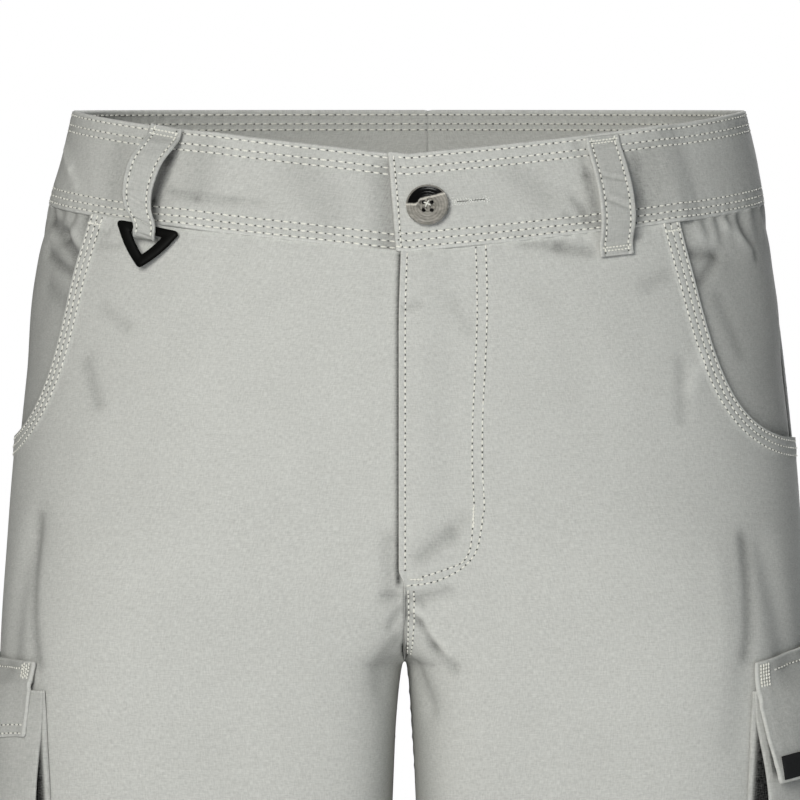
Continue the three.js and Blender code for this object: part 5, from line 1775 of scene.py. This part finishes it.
class SHORTS_OT_stitching(bpy.types.Operator):
    """Sew every topstitched row, buttonhole and bartack"""

    bl_idname = "shorts.stitching"
    bl_label = "Stitching"

    def execute(self, context):
        for side, label in SIDES:
            rows = []
            for level in BAND_ROWS:
                start = float(front_end(level)) + (-4.0 if side > 0 else -18.0)
                end = float(back_end(level)) - side * BACK_SEAM_X - 1
                girth = spaced(start, end)
                rows.append(panel_row(side, level, girth, band_row_lift))
                rows.append(panel_row(side, level, girth, band_row_lift, -BAND_CLOTH - 0.05))
            if side > 0:
                level = spaced(20, -20)
                lap = lerp(BAND_LAP_TOP, BAND_LAP, (BAND_TOP - level) / (BAND_TOP - BAND_FOOT))
                girth = front_end(level) - lap + 1.9
                sewn("lap_stitches", [panel_row(side, level, girth, band_offset, 0.2)], pitch=LAP_PITCH)
            sewn(f"band_stitches_{label}", rows, pitch=BAND_PITCH[side])
            rows = pocket_rows(side)
            if side > 0:
                level = spaced(-24, -194)
                girth = front_centre_edge(side, level) + 2.6
                rows.append(panel_row(side, level, girth, front_offset, FLY_THREAD_LIFT))
                for row in (FLY_OUTER_ROW, FLY_INNER_ROW):
                    line = spline(fly_row(row), 5)
                    rows.append(panel_row(side, line[:, 0], line[:, 1], front_offset, FLY_THREAD_LIFT))
                for away in (1.6, 4.2):
                    level = spaced(-204, -234)
                    rows.append(panel_row(side, level, front_end(level) + away, front_offset))
            sewn(f"front_stitches_{label}", rows)
            rows = []
            level = spaced(-24, -468, 4)
            rows.append(panel_row(side, level, side_seam(side, level) + 2.2, back_offset))
            for away in (2.2, 7.0):
                level = spaced(-24, -232, 3)
                rows.append(panel_row(side, level, back_centre_edge(side, level) - away, back_offset))
            for rise in (22, 2.5):
                ring = ring_near(HEM_LEVEL + rise)
                girth = spaced(ring.girth[0] + 1, ring.girth[-1] - 1, 4)
                rows.append(row_on(side, np.full(len(girth), HEM_LEVEL + rise), girth, 0.15))
            sewn(f"back_stitches_{label}", rows)
            rows = []
            for foot_row in FLAP_FOOT_ROWS if side < 0 else ():
                level = FLAP_FOOT + foot_row
                share = np.linspace(0.012, 0.988, 90)
                base = stand_at(FLAP_SECTION, level) + FLAP_CLOTH / 2 + flap_lift(side, share, level)
                rows.append(row_on(side, *flap_place(side, share, level, base + FLY_THREAD_LIFT)))
            share = np.linspace(0.06 if side > 0 else 0.01, 0.99, 90)
            rows.append(row_on(side, *flap_place(side, share, FLAP_LEVEL - 4.6, 3.75)))
            sewn(f"flap_stitches_{label}", rows)
        self.tacks()
        return {"FINISHED"}

    def tacks(self):
        """Bartacks at the pockets and fly, and the worked buttonhole."""
        rows = []
        for side in (1, -1):
            across = spaced(0.6, POCKET_HEM - 0.4, 1)
            level = np.full(len(across), PANEL_TOP - 4.2)
            girth = side_seam(side, level) - SEAM_GAP / 2 - POCKET_WIDTH - across
            rows.append(panel_row(side, level, girth, front_offset, TACK_LIFT))
        level = spaced(-166, -174, 1)
        girth = each(lambda value: ring_near(value).where(31.5, -1), level)
        rows.append(panel_row(1, level, girth, front_offset, TACK_LIFT))
        girth = each(lambda x: ring_near(FLY_TACK_LEVEL).where(x, -1), spaced(2.4, 8.6, 1))
        rows.append(panel_row(1, np.full(len(girth), FLY_TACK_LEVEL), girth, front_offset, TACK_LIFT))
        for side in (1, -1):
            for share in (0.008, 0.016, 0.024, 0.032):
                level = spaced(FLAP_LEVEL - 1.2, FLAP_LEVEL - 11, 1)
                base = stand_at(FLAP_SECTION, level) + FLAP_CLOTH / 2 + 0.4
                rows.append(row_on(side, *flap_place(side, np.full(len(level), share), level, base)))
        sewn("bartacks", rows, pitch=0.0015, length=0.0016, width=0.0012, holes=False)
        self.buttonhole()

    def buttonhole(self):
        """The worked eyelet, slit and bar beside the button."""
        centre = ring_near(BUTTON_LEVEL).where(BUTTON_X, -1)
        line = BUTTON_LEVEL + 1.0
        turn = np.linspace(0, 2 * math.pi, 33)
        paths = [(line + 1.45 * np.sin(turn), centre + 16.4 + 3.9 * np.cos(turn)),
                 (line + 0.75 * np.sin(turn), centre + 16.4 + 3.0 * np.cos(turn))]
        for rise in (-0.45, 0.45):
            girth = spaced(centre + 20.4, centre + 26, 1)
            paths.append((np.full(len(girth), line + rise), girth))
        for away in (26.4, 27.6, 28.8):
            level = spaced(line - 1.3, line + 1.3, 0.6)
            paths.append((level, np.full(len(level), centre + away)))
        for rise in (-1.6, 0.2, 1.4):
            girth = spaced(centre + 9.9, centre + 12.6, 0.8)
            paths.append((line + rise + 0.2 * (girth - centre - 10), girth))
        rows = [panel_row(1, level, girth, band_offset, FLY_THREAD_LIFT) for level, girth in paths]
        sewn("buttonhole", rows, pitch=0.0013, length=0.0013, width=0.0007, holes=False, thread="sage")
        girth = spaced(centre + 14, centre + 26, 1)
        # A dark line along the slit: painted shade
        slit = panel_row(1, np.full(len(girth), line), girth, band_offset, 0.1)
        sewn("buttonhole_slit", [slit], pitch=0.0013, length=0.0016, width=0.00035, holes=False, thread="hole")


# Place, width, power and colour of each soft light, in metres and watts
LIGHTS = (
    ("key", (-0.62, -2.4, 0.5), 1.0, 44, (1.0, 1.0, 0.955)),
    ("front", (0.0, -2.59, -0.35), 1.2, 9.5, (0.96, 0.98, 1.08)),
    ("fill", (1.98, -1.66, -0.35), 1.2, 2.8, (0.6, 0.85, 1.0)),
    ("top", (0.0, 0.3, 2.3), 1.4, 16, (1.0, 1.0, 1.0)),
    ("rear", (0.8, 2.4, 0.7), 1.2, 50, (1.0, 1.0, 1.0)),
)
LIGHTS_AIM = Vector((0, 0, -0.12))
AIR_LIGHT = 0.012
CAMERA_PLACE = (-0.0022, -2.5, -0.1162)
LENS = 234.4
FLOOR_RADIUS = 2.1
FLOOR_DROP = 6.0


class SHORTS_OT_studio(bpy.types.Operator):
    """Set the floor, soft lights and camera"""

    bl_idname = "shorts.studio"
    bl_label = "Studio"

    def execute(self, context):
        scene = context.scene
        turns = np.linspace(0, 2 * math.pi, 72, endpoint=False)
        low = (HEM_LEVEL - FLOOR_DROP) * MM
        rim = [(FLOOR_RADIUS * math.cos(turn), FLOOR_RADIUS * math.sin(turn), low) for turn in turns]
        mesh = bpy.data.meshes.new("floor")
        mesh.from_pydata(rim, [], [tuple(range(len(rim)))])
        mesh.materials.append(floor_material("pale floor"))
        linked_object("floor", mesh)
        world = bpy.data.worlds.new("studio")
        scene.world = world
        world.use_nodes = True
        tree = world.node_tree
        background = tree.nodes["Background"]
        background.inputs["Color"].default_value = (1, 1, 1, 1)
        seen = add_node(tree, "ShaderNodeLightPath").outputs["Is Camera Ray"]
        strength = add_node(tree, "ShaderNodeMapRange", {"To Min": AIR_LIGHT, "To Max": 1.0, "Value": seen})
        tree.links.new(strength.outputs[0], background.inputs["Strength"])
        for name, place, size, power, colour in LIGHTS:
            data = bpy.data.lights.new(name, "AREA")
            data.shape = "DISK"
            data.size = size
            data.energy = power
            data.color = colour
            lamp = linked_object(name, data)
            lamp.location = place
            lamp.rotation_euler = (LIGHTS_AIM - Vector(place)).to_track_quat("-Z", "Y").to_euler()
        data = bpy.data.cameras.new("photo_camera")
        data.sensor_width = 36
        data.lens = LENS
        camera = linked_object("photo_camera", data)
        camera.location = CAMERA_PLACE
        camera.rotation_euler = (math.pi / 2, 0, 0)
        scene.camera = camera
        scene.view_settings.view_transform = "Standard"
        scene.view_settings.look = "None"
        return {"FINISHED"}


class SHORTS_PT_panel(bpy.types.Panel):
    """Lists the pieces of the shorts in the order they are made"""

    bl_idname = "SHORTS_PT_panel"
    bl_label = "Cargo shorts"
    bl_space_type = "VIEW_3D"
    bl_region_type = "UI"
    bl_category = "Shorts"

    def draw(self, context):
        for settings in (context.scene.shorts_sizes, context.scene.shorts_colours):
            for name in settings.__annotations__:
                self.layout.prop(settings, name)
        for step in STEPS:
            self.layout.operator(step.bl_idname)


STEPS = (
    SHORTS_OT_studio,
    SHORTS_OT_fronts,
    SHORTS_OT_backs,
    SHORTS_OT_facings,
    SHORTS_OT_waistband,
    SHORTS_OT_belt_loops,
    SHORTS_OT_hook_loop,
    SHORTS_OT_hook_ring,
    SHORTS_OT_button,
    SHORTS_OT_cargo_pockets,
    SHORTS_OT_flaps,
    SHORTS_OT_stitching,
)
CLASSES = (ShortsSizes, ShortsColours) + STEPS + (SHORTS_PT_panel,)


def register():
    for item in CLASSES:
        bpy.utils.register_class(item)
    bpy.types.Scene.shorts_sizes = PointerProperty(type=ShortsSizes)
    bpy.types.Scene.shorts_colours = PointerProperty(type=ShortsColours)


def unregister():
    del bpy.types.Scene.shorts_colours
    del bpy.types.Scene.shorts_sizes
    for item in reversed(CLASSES):
        bpy.utils.unregister_class(item)


def main():
    register()
    bpy.ops.shorts.studio()
    bpy.ops.shorts.fronts()
    bpy.ops.shorts.backs()
    bpy.ops.shorts.facings()
    bpy.ops.shorts.waistband()
    bpy.ops.shorts.belt_loops()
    bpy.ops.shorts.hook_loop()
    bpy.ops.shorts.hook_ring()
    bpy.ops.shorts.button()
    bpy.ops.shorts.cargo_pockets()
    bpy.ops.shorts.flaps()
    bpy.ops.shorts.stitching()


if __name__ == "__main__":
    main()
